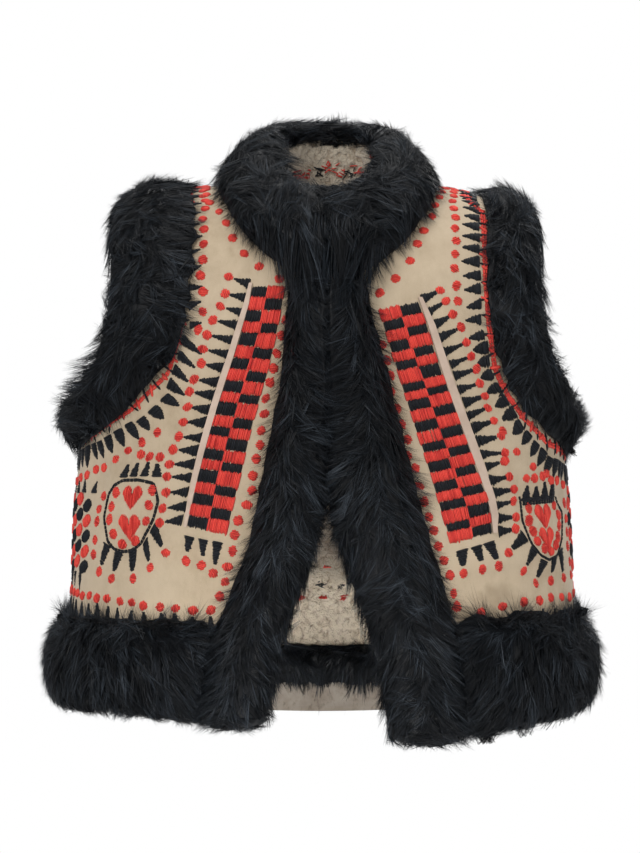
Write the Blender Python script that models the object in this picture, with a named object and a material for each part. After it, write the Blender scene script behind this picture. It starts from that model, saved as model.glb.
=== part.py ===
"""Embroidered folk vest in suede with a pile lining and long fur trim, filled out as if it were worn.

All sizes are in metres. The wearer faces -Y, +Z is up and the wearer's left is +X. The origin lies between
the shoulders, where the top of the shoulders meets the neck.

Every panel is cut from one surface, the form, unrolled into a flat pattern. A place on the pattern is a
pair (around, rise). around runs from the centre front and is positive towards +X. rise is 0 at the chest
line, grows over the shoulder to RIDGE and on down the back, so front and back share the pattern and meet
at the shoulder. The side seams lie at around = SIDE and -SIDE.
"""

import math
from typing import NamedTuple

import bmesh
import bpy
from mathutils import Vector
from mathutils.bvhtree import BVHTree
from mathutils.geometry import delaunay_2d_cdt, tessellate_polygon

# The form
CHEST = -0.140  # level of the chest line, where the form starts to close towards the shoulders
SHOULDER_RISE = 0.140
RIDGE = 0.203  # path from the chest line up to the top of the shoulder
UNROLL = 0.150  # radius that turns an angle round the form into a length on the pattern
SIDE = UNROLL * math.pi / 2
RING_POWER = 2.3  # how square the level rings are; 2 is an ellipse
SHOULDER_POWER = 4.0  # how square the line of the shoulders is from the front

# The cloth
SUEDE = 0.0020
LINING = 0.0050
LAYER_GAP = 0.0003
SEAM_SHIFT = 0.0002  # each panel stops this far short of a seam, on the pattern
SEAT_GAP = 0.0006  # between a fur band and the curved cloth that it lies on
INNER_GAP = 0.0009  # the same on the hollow side
CLOTH = SUEDE + LAYER_GAP + LINING
GRID = 0.0225  # spacing of the points inside a panel
EDGE_STEP = 0.019  # spacing of the points along a panel's edges

# The neck and the collar
CLOSE_X = 0.004  # the plane in which the two fronts meet
NECK_Y = -0.008
NECK_HALF_WIDTH = 0.062
NECK_FRONT = 0.084
NECK_BACK = 0.052
COLLAR_TOP_Y = -0.014
COLLAR_TOP_HALF_WIDTH = 0.047
COLLAR_TOP_FRONT = 0.060
COLLAR_TOP_BACK = 0.056
COLLAR_SIDE_TOP = 0.019  # mean level of the collar's top
COLLAR_TILT = 0.032  # how much higher its back is, and lower its front
COLLAR_DIP = 0.006
COLLAR_WALL = 0.004
COLLAR_TUCK = 0.011  # how far the fur reaches down inside
COLLAR_PILE = 0.026
COLLAR_OVER = 0.020  # how far the collar's fur lies over the panels
COLLAR_FRONT_OVER = 0.013  # how much further it does at the front

# The armholes, as seen from the side
ARMHOLE_LEVEL = -0.1025
ARMHOLE_HALF_HEIGHT = 0.0875
ARMHOLE_HALF_DEPTH = 0.080
ARMHOLE_EGG = 0.12  # how much narrower the top is than the middle
ARMHOLE_STEPS = 32

# The hem
HEM_SIDE = -0.411  # level of the hem at the side seams
HEM_DROOP = {1: 0.019, -1: 0.006}  # how much lower each front corner hangs
HEM_CURL = {1: 1.5, -1: 5.0}  # how near to the front edge the droop keeps
BACK_DROOP = 0.020
HEM_FUR_TOP = -0.344
HEM_PILE = 0.019
FACING = 0.0015
FACING_HEIGHT = 0.026
STRIP_HEIGHT = 0.056
STRIP_PILE = 0.012

# The chest welts: (x, z) down the inner edge from the top, by side, and the width at the middle and at the ends
WELT_LINES = {
    1: (
        (0.0736, -0.0950),
        (0.0811, -0.1162),
        (0.0903, -0.1464),
        (0.0996, -0.1744),
        (0.1091, -0.2000),
        (0.1200, -0.2300),
        (0.1262, -0.2477),
        (0.1298, -0.2622),
        (0.1312, -0.2759),
    ),
    -1: (
        (-0.0535, -0.0842),
        (-0.0558, -0.0998),
        (-0.0610, -0.1180),
        (-0.0674, -0.1397),
        (-0.0737, -0.1588),
        (-0.0797, -0.1779),
        (-0.0848, -0.1950),
        (-0.0900, -0.2139),
        (-0.0947, -0.2320),
        (-0.0990, -0.2507),
        (-0.1034, -0.2710),
    ),
}
WELT_WIDTHS = {1: (0.0069, 0.0030), -1: (0.0052, 0.0024)}
WELT = 0.0012

# How the bands of fur are worked out
WALK_STEP = 0.008
FUR_POWER = 2.5  # how full the section of a fur band is
BUTT_LIFTS = (-0.012, -0.006, 0.001, 0.007, 0.013, 0.019)  # heights at which a butt joint is tried
CLEARANCE = 0.0012  # between two fur bands that butt against each other
EDGE_START = 3  # the first station of a front edge that lies clear of the collar's fur
EDGE_BEYOND = 0.022  # how far the front edges' fur stands out past the cloth
EDGE_PILE = 0.024
HEM_BEYOND = 0.007
WRAP = 0.008  # how far the fur lies over the lining
INNER_PILE = 0.006



class Ring(NamedTuple):
    """A level section of the form."""

    level: float
    half_width: float
    front: float
    back: float


class EdgeRow(NamedTuple):
    """The front edges at one level: their distance from CLOSE_X, and how far the fur lies over each front."""

    level: float
    edge: float
    over_right: float
    over_left: float


class FurRow(NamedTuple):
    """The reach of an armhole's fur at an angle from the underarm forward and up to the shoulder."""

    angle: float
    over_right: float
    over_left: float
    beyond_right: float
    beyond_left: float
    pile: float


RINGS = (
    Ring(-0.140, 0.180, 0.118, 0.112),
    Ring(-0.215, 0.193, 0.119, 0.113),
    Ring(-0.300, 0.199, 0.121, 0.114),
    Ring(-0.345, 0.202, 0.124, 0.116),
    Ring(-0.460, 0.207, 0.130, 0.120),
)
FRONT_EDGES = (
    EdgeRow(-0.050, 0.0115, 0.017, 0.019),
    EdgeRow(-0.098, 0.0115, 0.019, 0.020),
    EdgeRow(-0.137, 0.012, 0.022, 0.030),
    EdgeRow(-0.175, 0.013, 0.025, 0.038),
    EdgeRow(-0.213, 0.016, 0.030, 0.044),
    EdgeRow(-0.251, 0.021, 0.032, 0.048),
    EdgeRow(-0.297, 0.031, 0.032, 0.050),
    EdgeRow(-0.335, 0.044, 0.033, 0.049),
    EdgeRow(-0.372, 0.055, 0.036, 0.046),
    EdgeRow(-0.470, 0.067, 0.036, 0.044),
)
ARMHOLE_FUR = (
    FurRow(0.0, 0.022, 0.022, 0.018, 0.018, 0.024),
    FurRow(45.0, 0.023, 0.014, 0.027, 0.030, 0.026),
    FurRow(90.0, 0.029, 0.010, 0.034, 0.040, 0.026),
    FurRow(140.0, 0.028, 0.009, 0.035, 0.040, 0.023),
    FurRow(180.0, 0.027, 0.015, 0.034, 0.036, 0.018),
)


def between(rows, key):
    """The row at a key between those of a table, each value on a smooth curve through the table."""
    keys = [row[0] for row in rows]
    if keys[0] > keys[-1]:
        return between(rows[::-1], key)
    key = min(max(key, keys[0]), keys[-1])
    at = next((i for i in range(len(keys) - 2) if key <= keys[i + 1]), len(keys) - 2)
    span = keys[at + 1] - keys[at]
    t = (key - keys[at]) / span

    def slope(i, column):
        if i in (0, len(rows) - 1):
            return 0.0
        return (rows[i + 1][column] - rows[i - 1][column]) / (keys[i + 1] - keys[i - 1])

    values = []
    for column in range(1, len(rows[0])):
        low, high = rows[at][column], rows[at + 1][column]
        leave, arrive = slope(at, column) * span, slope(at + 1, column) * span
        values.append(
            (2 * t**3 - 3 * t**2 + 1) * low
            + (t**3 - 2 * t**2 + t) * leave
            + (3 * t**2 - 2 * t**3) * high
            + (t**3 - t**2) * arrive
        )
    return type(rows[0])(key, *values)


# The form and its pattern


def form_point(place):
    """The point of the suede's outer face at a place on the pattern."""
    angle, rise = place[0] / UNROLL, place[1]
    if rise > RIDGE:
        angle = math.copysign(math.pi, angle) - angle
        rise = 2 * RIDGE - rise
    sine, cosine = math.sin(angle), math.cos(angle)
    reach = (abs(sine) ** RING_POWER + abs(cosine) ** RING_POWER) ** (-1 / RING_POWER)
    across, forward = sine * reach, cosine * reach
    if rise <= 0:
        ring, lean, level = between(RINGS, CHEST + rise), 1.0, CHEST + rise
    else:
        turn = rise / RIDGE * math.pi / 2
        shoulder = max(1 - abs(across) ** SHOULDER_POWER, 0.0) ** (1 / SHOULDER_POWER)
        ring, lean = RINGS[0], math.cos(turn)
        level = CHEST + SHOULDER_RISE * shoulder * math.sin(turn)
    depth = ring.front if forward > 0 else ring.back
    return Vector((ring.half_width * across, -depth * forward * lean, level))


def slopes(place):
    """How the form's point moves with around and with rise."""
    tiny = 1e-4
    around, rise = place
    along = form_point((around + tiny, rise)) - form_point((around - tiny, rise))
    up = form_point((around, rise + tiny)) - form_point((around, rise - tiny))
    return along / (2 * tiny), up / (2 * tiny)


def out_of(place):
    """The form's outward normal."""
    along, up = slopes(place)
    return along.cross(up).normalized()


def on(place, lift):
    """The point at a height over the suede's outer face; below it the height is negative."""
    return form_point(place) + out_of(place) * lift


def seek(start, axes, target):
    """The place near start whose point has the target's values on two of the axes."""
    place = start
    for _ in range(25):
        point = form_point(place)
        miss = [target[k] - point[axes[k]] for k in (0, 1)]
        along, up = slopes(place)
        a, b, c, d = along[axes[0]], up[axes[0]], along[axes[1]], up[axes[1]]
        det = a * d - b * c
        step = ((d * miss[0] - b * miss[1]) / det, (a * miss[1] - c * miss[0]) / det)
        short = min(1.0, 0.02 / max(math.hypot(*step), 1e-9))
        place = (place[0] + step[0] * short, place[1] + step[1] * short)
    return place


def walk(place, heading, distance):
    """The place reached by walking on the form from a place, straight on along a heading."""
    if distance == 0:
        return place
    count = max(1, math.ceil(abs(distance) / WALK_STEP))
    for _ in range(count):
        along, up = slopes(place)
        aa, ab, bb = along.dot(along), along.dot(up), up.dot(up)
        u, v = along.dot(heading), up.dot(heading)
        det = aa * bb - ab * ab
        turn = ((bb * u - ab * v) / det, (aa * v - ab * u) / det)
        moved = along * turn[0] + up * turn[1]
        share = distance / count / moved.length
        place = (place[0] + turn[0] * share, place[1] + turn[1] * share)
        heading = moved.normalized()
    return place


class Station:
    """A place on an edge and the heading along the cloth, square to the edge and into the panel."""

    def __init__(self, place, heading):
        self.place = place
        self.heading = heading

    def at(self, inward, lift):
        """The point at a distance in from the edge and a height over the suede."""
        return on(walk(self.place, self.heading, inward), lift)


def stations(places, closed, inside):
    """Stations along an edge. inside is a point that the headings turn to, or from when it has a minus."""
    points = [form_point(place) for place in places]
    found = []
    for i, place in enumerate(places):
        before = points[i - 1] if closed or i else points[i]
        after = points[(i + 1) % len(points)] if closed or i + 1 < len(points) else points[i]
        heading = out_of(place).cross(after - before).normalized()
        towards, sign = inside
        if heading.dot(towards - points[i]) * sign < 0:
            heading = -heading
        found.append(Station(place, heading))
    return found


# Edges of the panels, as places on the pattern


def evenly(path, step):
    """Places along a path, given as a function of 0 to 1, about a step apart on the form."""
    fine = [path(i / 60) for i in range(61)]
    points = [form_point(place) for place in fine]
    reached = [0.0]
    for a, b in zip(points, points[1:]):
        reached.append(reached[-1] + (b - a).length)
    count = max(2, round(reached[-1] / step))
    found = []
    for k in range(count + 1):
        want = reached[-1] * k / count
        i = next((j for j in range(59) if reached[j + 1] >= want), 59)
        t = (want - reached[i]) / (reached[i + 1] - reached[i])
        found.append(tuple(fine[i][n] + (fine[i + 1][n] - fine[i][n]) * t for n in (0, 1)))
    return found


def neck_plan(turn):
    """The neckline in plan at a turn from the centre front towards +X."""
    depth = NECK_FRONT if math.cos(turn) > 0 else NECK_BACK
    return CLOSE_X + NECK_HALF_WIDTH * math.sin(turn), NECK_Y - depth * math.cos(turn)


def neck_places():
    """The neckline from the front edge on the +X side round the back to the other, and the turns there."""
    shoulder = math.acos(NECK_Y / NECK_BACK)
    first = math.asin(FRONT_EDGES[0].edge / NECK_HALF_WIDTH)
    front = [first + (shoulder - first) * i / 8 for i in range(9)]
    back = [shoulder + (2 * math.pi - 2 * shoulder) * i / 10 for i in range(1, 10)]
    turns = front + back + [2 * math.pi - turn for turn in reversed(front)]
    guess, found = (0.02, RIDGE * 0.45), []
    for turn in turns:
        guess = seek(guess, (0, 1), neck_plan(turn))
        found.append(guess)
    return found, turns


def armhole_places(side):
    """One armhole's edge from the underarm forward, over the shoulder and back down to the underarm."""
    guess, found = (side * SIDE, ARMHOLE_LEVEL - ARMHOLE_HALF_HEIGHT - CHEST), []
    for k in range(ARMHOLE_STEPS + 1):
        angle = 2 * math.pi * k / ARMHOLE_STEPS - math.pi / 2
        egg = 1 - ARMHOLE_EGG * math.sin(angle)
        depth = -ARMHOLE_HALF_DEPTH * math.cos(angle) * egg
        level = ARMHOLE_LEVEL + ARMHOLE_HALF_HEIGHT * math.sin(angle)
        guess = seek(guess, (1, 2), (depth, level))
        found.append(guess)
    return found


def front_edge_place(side, level):
    """The front edge of one front at a level."""
    x = CLOSE_X + side * between(FRONT_EDGES, level).edge
    guess = (x / RINGS[0].half_width * UNROLL, min(level - CHEST, 0.09))
    return seek(guess, (0, 2), (x, level))


def hem_place(around):
    """The hem of a front at a place round the form."""
    side = 1 if around > 0 else -1
    towards_front = max(math.cos(around / UNROLL), 0.0)
    return around, HEM_SIDE - HEM_DROOP[side] * towards_front ** HEM_CURL[side] - CHEST


def hem_over(around):
    """How far up from the hem the fur of a front reaches."""
    return HEM_FUR_TOP - CHEST - hem_place(around)[1]


def back_hem_place(around):
    """The hem of the back at a place round the form."""
    return around, 2 * RIDGE + CHEST - HEM_SIDE + BACK_DROOP * math.cos(around / UNROLL) ** 2


def back_hem_over(around):
    """How far up from the hem the fur of the back reaches."""
    return back_hem_place(around)[1] - (2 * RIDGE + CHEST - HEM_FUR_TOP)


def hem_corner(side):
    """Where a front edge meets the hem."""
    level = HEM_SIDE - HEM_DROOP[side]
    for _ in range(4):
        place = front_edge_place(side, level)
        level = hem_place(place[0])[1] + CHEST
    return place


def front_hem(side):
    """The hem of one front from the side seam to the front edge."""
    seam, corner = side * (SIDE - SEAM_SHIFT), hem_corner(side)[0]
    return evenly(lambda t: hem_place(seam + (corner - seam) * t), EDGE_STEP)


def back_hem():
    """The hem of the back from the +X side seam to the other."""
    return evenly(lambda t: back_hem_place((1 - 2 * t) * (SIDE - SEAM_SHIFT)), EDGE_STEP)


def front_edge(side):
    """One front edge from the neckline down to the hem."""
    turn = math.asin(FRONT_EDGES[0].edge / NECK_HALF_WIDTH)
    top = seek((side * 0.02, RIDGE * 0.45), (0, 1), neck_plan(side * turn))
    high, low = form_point(top).z, form_point(hem_corner(side)).z
    return evenly(lambda t: front_edge_place(side, high + (low - high) * t) if t else top, EDGE_STEP)


# Solids


def material(name, colour, roughness):
    made = bpy.data.materials.new(name)
    made.use_nodes = True
    shader = made.node_tree.nodes["Principled BSDF"]
    shader.inputs["Base Color"].default_value = (*colour, 1.0)
    shader.inputs["Roughness"].default_value = roughness
    shader.inputs["Metallic"].default_value = 0.0
    return made


def solid(name, points, faces, finish):
    """One closed piece from its points and faces, its faces turned outwards."""
    shape = bmesh.new()
    corners = [shape.verts.new(point) for point in points]
    for face in faces:
        shape.faces.new([corners[i] for i in face])
    bmesh.ops.recalc_face_normals(shape, faces=shape.faces)
    mesh = bpy.data.meshes.new(name)
    shape.to_mesh(mesh)
    shape.free()
    mesh.materials.append(finish)
    mesh.shade_smooth()
    mesh.set_sharp_from_angle(angle=math.radians(50))
    piece = bpy.data.objects.new(name, mesh)
    bpy.context.scene.collection.objects.link(piece)
    return piece


def distance_to_outline(place, outline):
    """The distance on the pattern from a place to the nearest side of an outline."""
    best = 1.0
    for (ax, ay), (bx, by) in zip(outline, outline[1:] + outline[:1]):
        run, up = bx - ax, by - ay
        long = max(run * run + up * up, 1e-12)
        t = min(max(((place[0] - ax) * run + (place[1] - ay) * up) / long, 0.0), 1.0)
        best = min(best, math.hypot(place[0] - ax - run * t, place[1] - ay - up * t))
    return best


def inside_outline(place, outline):
    crossings = 0
    for (ax, ay), (bx, by) in zip(outline, outline[1:] + outline[:1]):
        if (ay > place[1]) != (by > place[1]):
            if place[0] < ax + (place[1] - ay) / (by - ay) * (bx - ax):
                crossings += 1
    return crossings % 2 == 1


def pattern_mesh(outline, seats):
    """The places and triangles of a panel: its outline, the seats of what lies on it, and staggered rows."""
    places = list(outline)
    for seat in seats:
        near = min(math.dist(seat, place) for place in places[len(outline) :] + [(9.0, 9.0)])
        if inside_outline(seat, outline) and distance_to_outline(seat, outline) > 0.3 * GRID:
            if near > 0.25 * GRID:
                places.append(seat)
    taken = len(places)
    row_height = GRID * math.sqrt(3) / 2
    low = min(place[1] for place in outline)
    high = max(place[1] for place in outline)
    reach = max(abs(place[0]) for place in outline)
    rows = math.ceil((high - low) / row_height)
    columns = math.ceil(reach / GRID)
    for row in range(1, rows + 1):
        for column in range(-columns, columns + 1):
            place = ((column + 0.5 * (row % 2)) * GRID, low + row * row_height)
            if not inside_outline(place, outline) or distance_to_outline(place, outline) < 0.55 * GRID:
                continue
            if all(math.dist(place, seat) > 0.65 * GRID for seat in places[len(outline) : taken]):
                places.append(place)
    count = len(outline)
    sides = [(i, (i + 1) % count) for i in range(count)]
    flat = [Vector(place) for place in places]
    found = delaunay_2d_cdt(flat, sides, [list(range(count))], 1, 1e-7)
    return [tuple(place) for place in found[0]], [tuple(face) for face in found[2]]


def wall(name, places, triangles, top, bottom, finish):
    """A cloth wall over a panel's places, between two heights over the suede's outer face."""
    count = len(places)
    points = [on(place, top) for place in places] + [on(place, bottom) for place in places]
    faces = [tuple(face) for face in triangles]
    faces += [tuple(count + i for i in reversed(face)) for face in triangles]
    seen = {}
    for face in triangles:
        for a, b in zip(face, face[1:] + face[:1]):
            seen[(a, b)] = True
    for a, b in seen:
        if (b, a) not in seen:
            faces.append((b, a, count + a, count + b))
    return solid(name, points, faces, finish)


def swept(name, rings, section, closed, finish, lean=None):
    """A band through its rings. section holds the flat places of a ring's points, which shape the caps.

    A four-sided face is split along its shorter diagonal, or the way that lean says, so that two bands that
    touch split alike.
    """
    size = len(rings[0])
    points = [point for ring in rings for point in ring]
    faces = []
    pairs = list(zip(range(len(rings)), range(1, len(rings))))
    if closed:
        pairs.append((len(rings) - 1, 0))
    for a, b in pairs:
        for i in range(size):
            j = (i + 1) % size
            corners = [a * size + i, a * size + j, b * size + j, b * size + i]
            one, other = ((points[corners[k]] - points[corners[k + 2]]).length for k in (0, 1))
            if lean if lean is not None else other < one:
                corners = corners[1:] + corners[:1]
            faces.append((corners[0], corners[1], corners[2]))
            faces.append((corners[0], corners[2], corners[3]))
    if not closed:
        flat = [Vector((s, n, 0.0)) for s, n in section]
        last = (len(rings) - 1) * size
        for face in tessellate_polygon([flat]):
            faces.append(tuple(face))
            faces.append(tuple(last + i for i in reversed(face)))
    return solid(name, points, faces, finish)


def arc(centre, reach, height, start, end, count):
    """Points (inward, lift) on a full, rounded arc, between two angles in degrees."""
    found = []
    for i in range(count):
        angle = math.radians(start + (end - start) * i / (count - 1))
        full = (abs(math.cos(angle)) ** FUR_POWER + abs(math.sin(angle)) ** FUR_POWER) ** (-1 / FUR_POWER)
        found.append((centre + reach * math.cos(angle) * full, height * math.sin(angle) * full))
    return found


def wrapping_section(over, beyond, pile, inside=WRAP, inner_pile=INNER_PILE):
    """A fur roll round a raw edge, from its seat on the suede over the pile and round to the lining."""
    outer = arc((over - beyond) / 2, (over + beyond) / 2, pile, 14, 180, 7)
    inner = arc((inside - beyond) / 2, (inside + beyond) / 2, CLOTH + inner_pile, 215, 318, 4)
    seat = [
        (inside, -CLOTH - INNER_GAP),
        (-SEAT_GAP, -CLOTH - INNER_GAP),
        (-SEAT_GAP, SEAT_GAP),
        (over / 2, SEAT_GAP),
        (over, SEAT_GAP),
    ]
    return outer + inner + seat


def closed_section(section, over, inside=WRAP):
    """The same roll past the end of the cloth, where nothing lies in its slot."""
    slot = [
        (inside, -CLOTH - INNER_GAP),
        (inside + 0.002, -CLOTH * 0.8),
        (inside + 0.004, -CLOTH * 0.5),
        ((over + inside) / 2, -SEAT_GAP),
        (over, SEAT_GAP),
    ]
    return section[: -len(slot)] + slot


def lying_section(low, high, pile, base, seat):
    """A fur strip that lies on the cloth between two distances from an edge; a pile below 0 faces inwards."""
    over = [(s, base + n) for s, n in arc((low + high) / 2, (high - low) / 2, pile, 12, 168, 7)]
    return over + [(low, base), (seat, base), (high, base)]


def beside_plane(point, side):
    """The point kept on its own side of the plane where the fronts meet."""
    limit = CLOSE_X + side * LAYER_GAP / 2
    return Vector((max(point.x, limit) if side > 0 else min(point.x, limit), point.y, point.z))


def tree_of(piece):
    mesh = piece.data
    corners = [vertex.co.copy() for vertex in mesh.vertices]
    return BVHTree.FromPolygons(corners, [tuple(face.vertices) for face in mesh.polygons])


def butted(path, obstacle, start, step):
    """How far a column of points can go along path(distance, lift) before it nears an obstacle."""
    distance = start
    while abs(distance - start) < 0.12:
        column = [path(distance + step, lift) for lift in BUTT_LIFTS]
        if any(obstacle.find_nearest(point, CLEARANCE + abs(step))[0] is not None for point in column):
            break
        distance += step
    return distance


# The pieces


def neck_parts(neck):
    """The neckline's places on the +X front, along the back, and on the -X front."""
    middle = next(i for i, place in enumerate(neck) if place[1] > RIDGE - 1e-3)
    return neck[: middle + 1], neck[middle + 1 : len(neck) - 1 - middle], neck[::-1][: middle + 1]


def shoulder_seam(neck_end, armhole_end, rise):
    """A panel's shoulder edge, from the neck to the armhole."""
    return evenly(lambda t: (neck_end[0] + (armhole_end[0] - neck_end[0]) * t, rise), 0.024)


def side_seam(side, high, low):
    """A panel's side edge between two places up the pattern."""
    return evenly(lambda t: (side * (SIDE - SEAM_SHIFT), high + (low - high) * t), 0.022)


def front_outline(side, neck, armhole):
    """The outline of one front: neckline, shoulder, armhole, side, hem and front edge."""
    half = ARMHOLE_STEPS // 2
    parts = neck_parts(neck)
    neck_part = parts[0] if side > 0 else parts[2]
    shoulder = shoulder_seam(neck_part[-1], armhole[half], RIDGE - SEAM_SHIFT)
    down = side_seam(side, armhole[0][1], hem_place(side * SIDE)[1])
    return (
        neck_part[:-1]
        + shoulder
        + armhole[1:half][::-1]
        + down
        + front_hem(side)[1:-1]
        + front_edge(side)[::-1][:-1]
    )


def back_outline(neck, armholes):
    """The outline of the back, from the +X shoulder round the hem to the other and along the neckline."""
    half = ARMHOLE_STEPS // 2
    parts = neck_parts(neck)
    halves = []
    for side, neck_part in ((1, parts[0]), (-1, parts[2])):
        shoulder = shoulder_seam(neck_part[-1], armholes[side][half], RIDGE + SEAM_SHIFT)
        down = side_seam(side, armholes[side][-1][1], back_hem_place(side * SIDE)[1])
        halves.append(shoulder + armholes[side][half + 1 : -1] + down)
    return halves[0] + back_hem()[1:-1] + halves[1][::-1] + parts[1][::-1]


def armhole_seats(side, places):
    """Where an armhole's fur is seated on the panels: places half way and all the way in from the edge."""
    seats = []
    for k, station in enumerate(armhole_stations(side, places)):
        over = armhole_reach(side, k)[0]
        seats += [walk(station.place, station.heading, over * share) for share in (0.5, 1.0)]
    return seats


def edge_seats(side):
    """Where the fur of a front edge is seated on the front."""
    seats = []
    for station in edge_stations(side):
        over = edge_over(side, station)
        seats += [walk(station.place, station.heading, over * share) for share in (0.5, 1.0)]
    return seats


def make_panels(suede, pile, neck, armholes):
    """The three suede panels and the lining behind each."""
    outlines, seats = {"back": back_outline(neck, armholes)}, {"back": []}
    for side, name in ((1, "left"), (-1, "right")):
        on_armhole = armhole_seats(side, armholes[side])
        outlines[f"front_{name}"] = front_outline(side, neck, armholes[side])
        hem = [
            (place[0], place[1] + hem_over(place[0]) * share) for share in (0.5, 1.0) for place in front_hem(side)
        ]
        seats[f"front_{name}"] = on_armhole + edge_seats(side) + hem
        seats["back"] += on_armhole
    for place in back_hem():
        highs = (FACING_HEIGHT, STRIP_HEIGHT, back_hem_over(place[0]))
        seats["back"] += [(place[0], place[1] - high) for high in highs]
    for name, outline in outlines.items():
        mesh = pattern_mesh(outline, seats[name])
        wall(name, *mesh, 0.0, -SUEDE, suede)
        wall(f"lining_{name}", *mesh, -SUEDE - LAYER_GAP, -CLOTH, pile)


def collar_frames(neck, turns):
    """For each station of the neckline: the station, the wall's foot, its top and its outward direction."""
    frames = []
    for station, turn in zip(stations(neck, False, (Vector((CLOSE_X, NECK_Y, 0)), -1)), turns):
        depth = COLLAR_TOP_FRONT if math.cos(turn) > 0 else COLLAR_TOP_BACK
        level = COLLAR_SIDE_TOP - COLLAR_TILT * math.cos(turn) - COLLAR_DIP * math.cos(2 * turn)
        across = CLOSE_X + COLLAR_TOP_HALF_WIDTH * math.sin(turn)
        top = Vector((across, COLLAR_TOP_Y - depth * math.cos(turn), level))
        foot = form_point(station.place)
        up = (top - foot).normalized()
        out = Vector((math.sin(turn), -math.cos(turn), 0.0))
        out = (out - up * out.dot(up)).normalized()
        over = COLLAR_OVER + COLLAR_FRONT_OVER * max(math.cos(turn), 0.0) ** 0.7
        frames.append((station, foot, up, (top - foot).length, out, over))
    return frames


def collar_stations(neck, turns):
    """The neckline's stations with more of them near the centre front, where the collar's ends meet."""
    near = [math.asin(LAYER_GAP / NECK_HALF_WIDTH), turns[0] / 2]
    guess = {side: (side * 0.02, RIDGE * 0.45) for side in (1, -1)}
    right = [seek(guess[1], (0, 1), neck_plan(turn)) for turn in near]
    left = [seek(guess[-1], (0, 1), neck_plan(-turn)) for turn in near]
    places = [*right, *neck, *left[::-1]]
    return collar_frames(places, [*near, *turns, *[2 * math.pi - turn for turn in near[::-1]]])


def meet_at_centre(rings):
    """The rings with both ends flat against the plane where the fronts meet."""
    half = len(rings) / 2
    kept = [[beside_plane(point, 1 if i < half else -1) for point in ring] for i, ring in enumerate(rings)]
    for end, side in ((0, 1), (-1, -1)):
        kept[end] = [Vector((CLOSE_X + side * LAYER_GAP / 2, point.y, point.z)) for point in kept[end]]
    return kept


def make_collar_lining(frames, pile):
    """The collar's lining, which is also its wall and covers the raw edges at the neck seam."""
    rings = []
    for station, foot, up, height, out, _ in frames:
        outer = [foot + up * rise - out * LAYER_GAP for rise in (height * 0.5, height)]
        inner_rises = (height, height - COLLAR_TUCK, height * 0.4)
        inner = [foot + up * rise - out * COLLAR_WALL for rise in inner_rises]
        rings.append(
            [station.at(-SEAT_GAP, -CLOTH), station.at(-SEAT_GAP, 0.0), *outer, *inner]
            + [station.at(-SEAT_GAP - COLLAR_WALL, lift) for lift in (0.0, -CLOTH)]
        )
    flat = [(0, -8), (0, 0), (0, 20), (0, 40), (-4, 40), (-4, 30), (-4, 16), (-4, 0), (-4, -8)]
    return swept("collar_lining", meet_at_centre(rings), flat, False, pile, lean=False)


def make_collar_fur(frames, fur):
    """The collar's fur, outside the wall, over its top and a little way down inside."""
    rings = []
    for station, foot, up, height, out, over in frames:
        low = station.at(over + 0.003, COLLAR_PILE * 0.32)
        side = foot + up * height * 0.3 + out * COLLAR_PILE
        square = (side - low).cross(out.cross(up)).normalized()
        square *= math.copysign(1.0, square.dot(out))
        belly = (low + side) / 2 + square * (side - low).length * 0.2
        over_top = [
            (height * 0.62, COLLAR_PILE),
            (height * 0.9, COLLAR_PILE * 0.88),
            (height + 0.007, COLLAR_PILE * 0.62),
            (height + 0.012, COLLAR_PILE * 0.2),
            (height + 0.011, -0.007),
            (height + 0.004, -0.014),
            (height - 0.006, -0.013),
        ]
        seat = [
            (height - COLLAR_TUCK, -COLLAR_WALL - SEAT_GAP),
            (height + LAYER_GAP, -COLLAR_WALL - SEAT_GAP),
            (height + LAYER_GAP, LAYER_GAP),
            (height * 0.5, LAYER_GAP),
        ]
        rings.append(
            [station.at(over, SEAT_GAP), low, belly, side]
            + [foot + up * rise + out * lift for rise, lift in over_top + seat]
            + [station.at(LAYER_GAP, SEAT_GAP), station.at(over / 2, SEAT_GAP)]
        )
    flat = [
        (-20, 0), (-23, 8), (-10, 22), (10, 26), (25, 26), (38, 22), (47, 16), (52, 5), (51, -7),
        (44, -14), (34, -13), (29, -4.6), (40.3, -4.6), (40.3, 0.3), (20, 0.3), (0, 0), (-10, 0),
    ]  # fmt: skip
    return swept("collar_fur", meet_at_centre(rings), flat, False, fur, lean=True)


def edge_stations(side):
    return stations(front_edge(side), False, (Vector((side * 0.3, -0.15, -0.25)), 1))


def edge_over(side, station):
    """How far the fur of a front edge lies over the front at a station."""
    row = between(FRONT_EDGES, form_point(station.place).z)
    return row.over_left if side > 0 else row.over_right


def make_edge_fur(side, name, collar, fur):
    """The fur down one front edge: its top butts against the collar and its foot rounds off past the hem."""
    along = edge_stations(side)
    sections = [wrapping_section(edge_over(side, station), EDGE_BEYOND, EDGE_PILE) for station in along]
    obstacle = tree_of(collar)
    top = []
    for s, n in sections[0]:
        start = walk(along[EDGE_START].place, along[EDGE_START].heading, s)

        def climb(distance, lift, start=start):
            return beside_plane(on(walk(start, Vector((0, 0, 1)), distance), lift), side)

        top.append(climb(butted(climb, obstacle, 0.0, 0.0015), n))
    rings = [top]
    for station, section in list(zip(along, sections))[EDGE_START:-1]:
        rings.append([beside_plane(station.at(s, n), side) for s, n in section])
    foot, over = along[-1], edge_over(side, along[-1])
    middle = (over - EDGE_BEYOND) / 2
    open_foot, closed_foot = sections[-1], closed_section(sections[-1], over)
    for drop, share, section in (
        (SEAT_GAP, 1.0, open_foot),
        (0.0015, 1.0, closed_foot),
        (0.006, 0.9, closed_foot),
        (0.011, 0.6, closed_foot),
    ):
        ring = []
        for s, n in section:
            around = walk(foot.place, foot.heading, middle + (s - middle) * share)[0]
            ring.append(on((around, hem_place(around)[1] - drop), (n + 0.004) * share - 0.004))
        rings.append(ring)
    return swept(f"edge_fur_{name}", rings, sections[0], False, fur)


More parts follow.
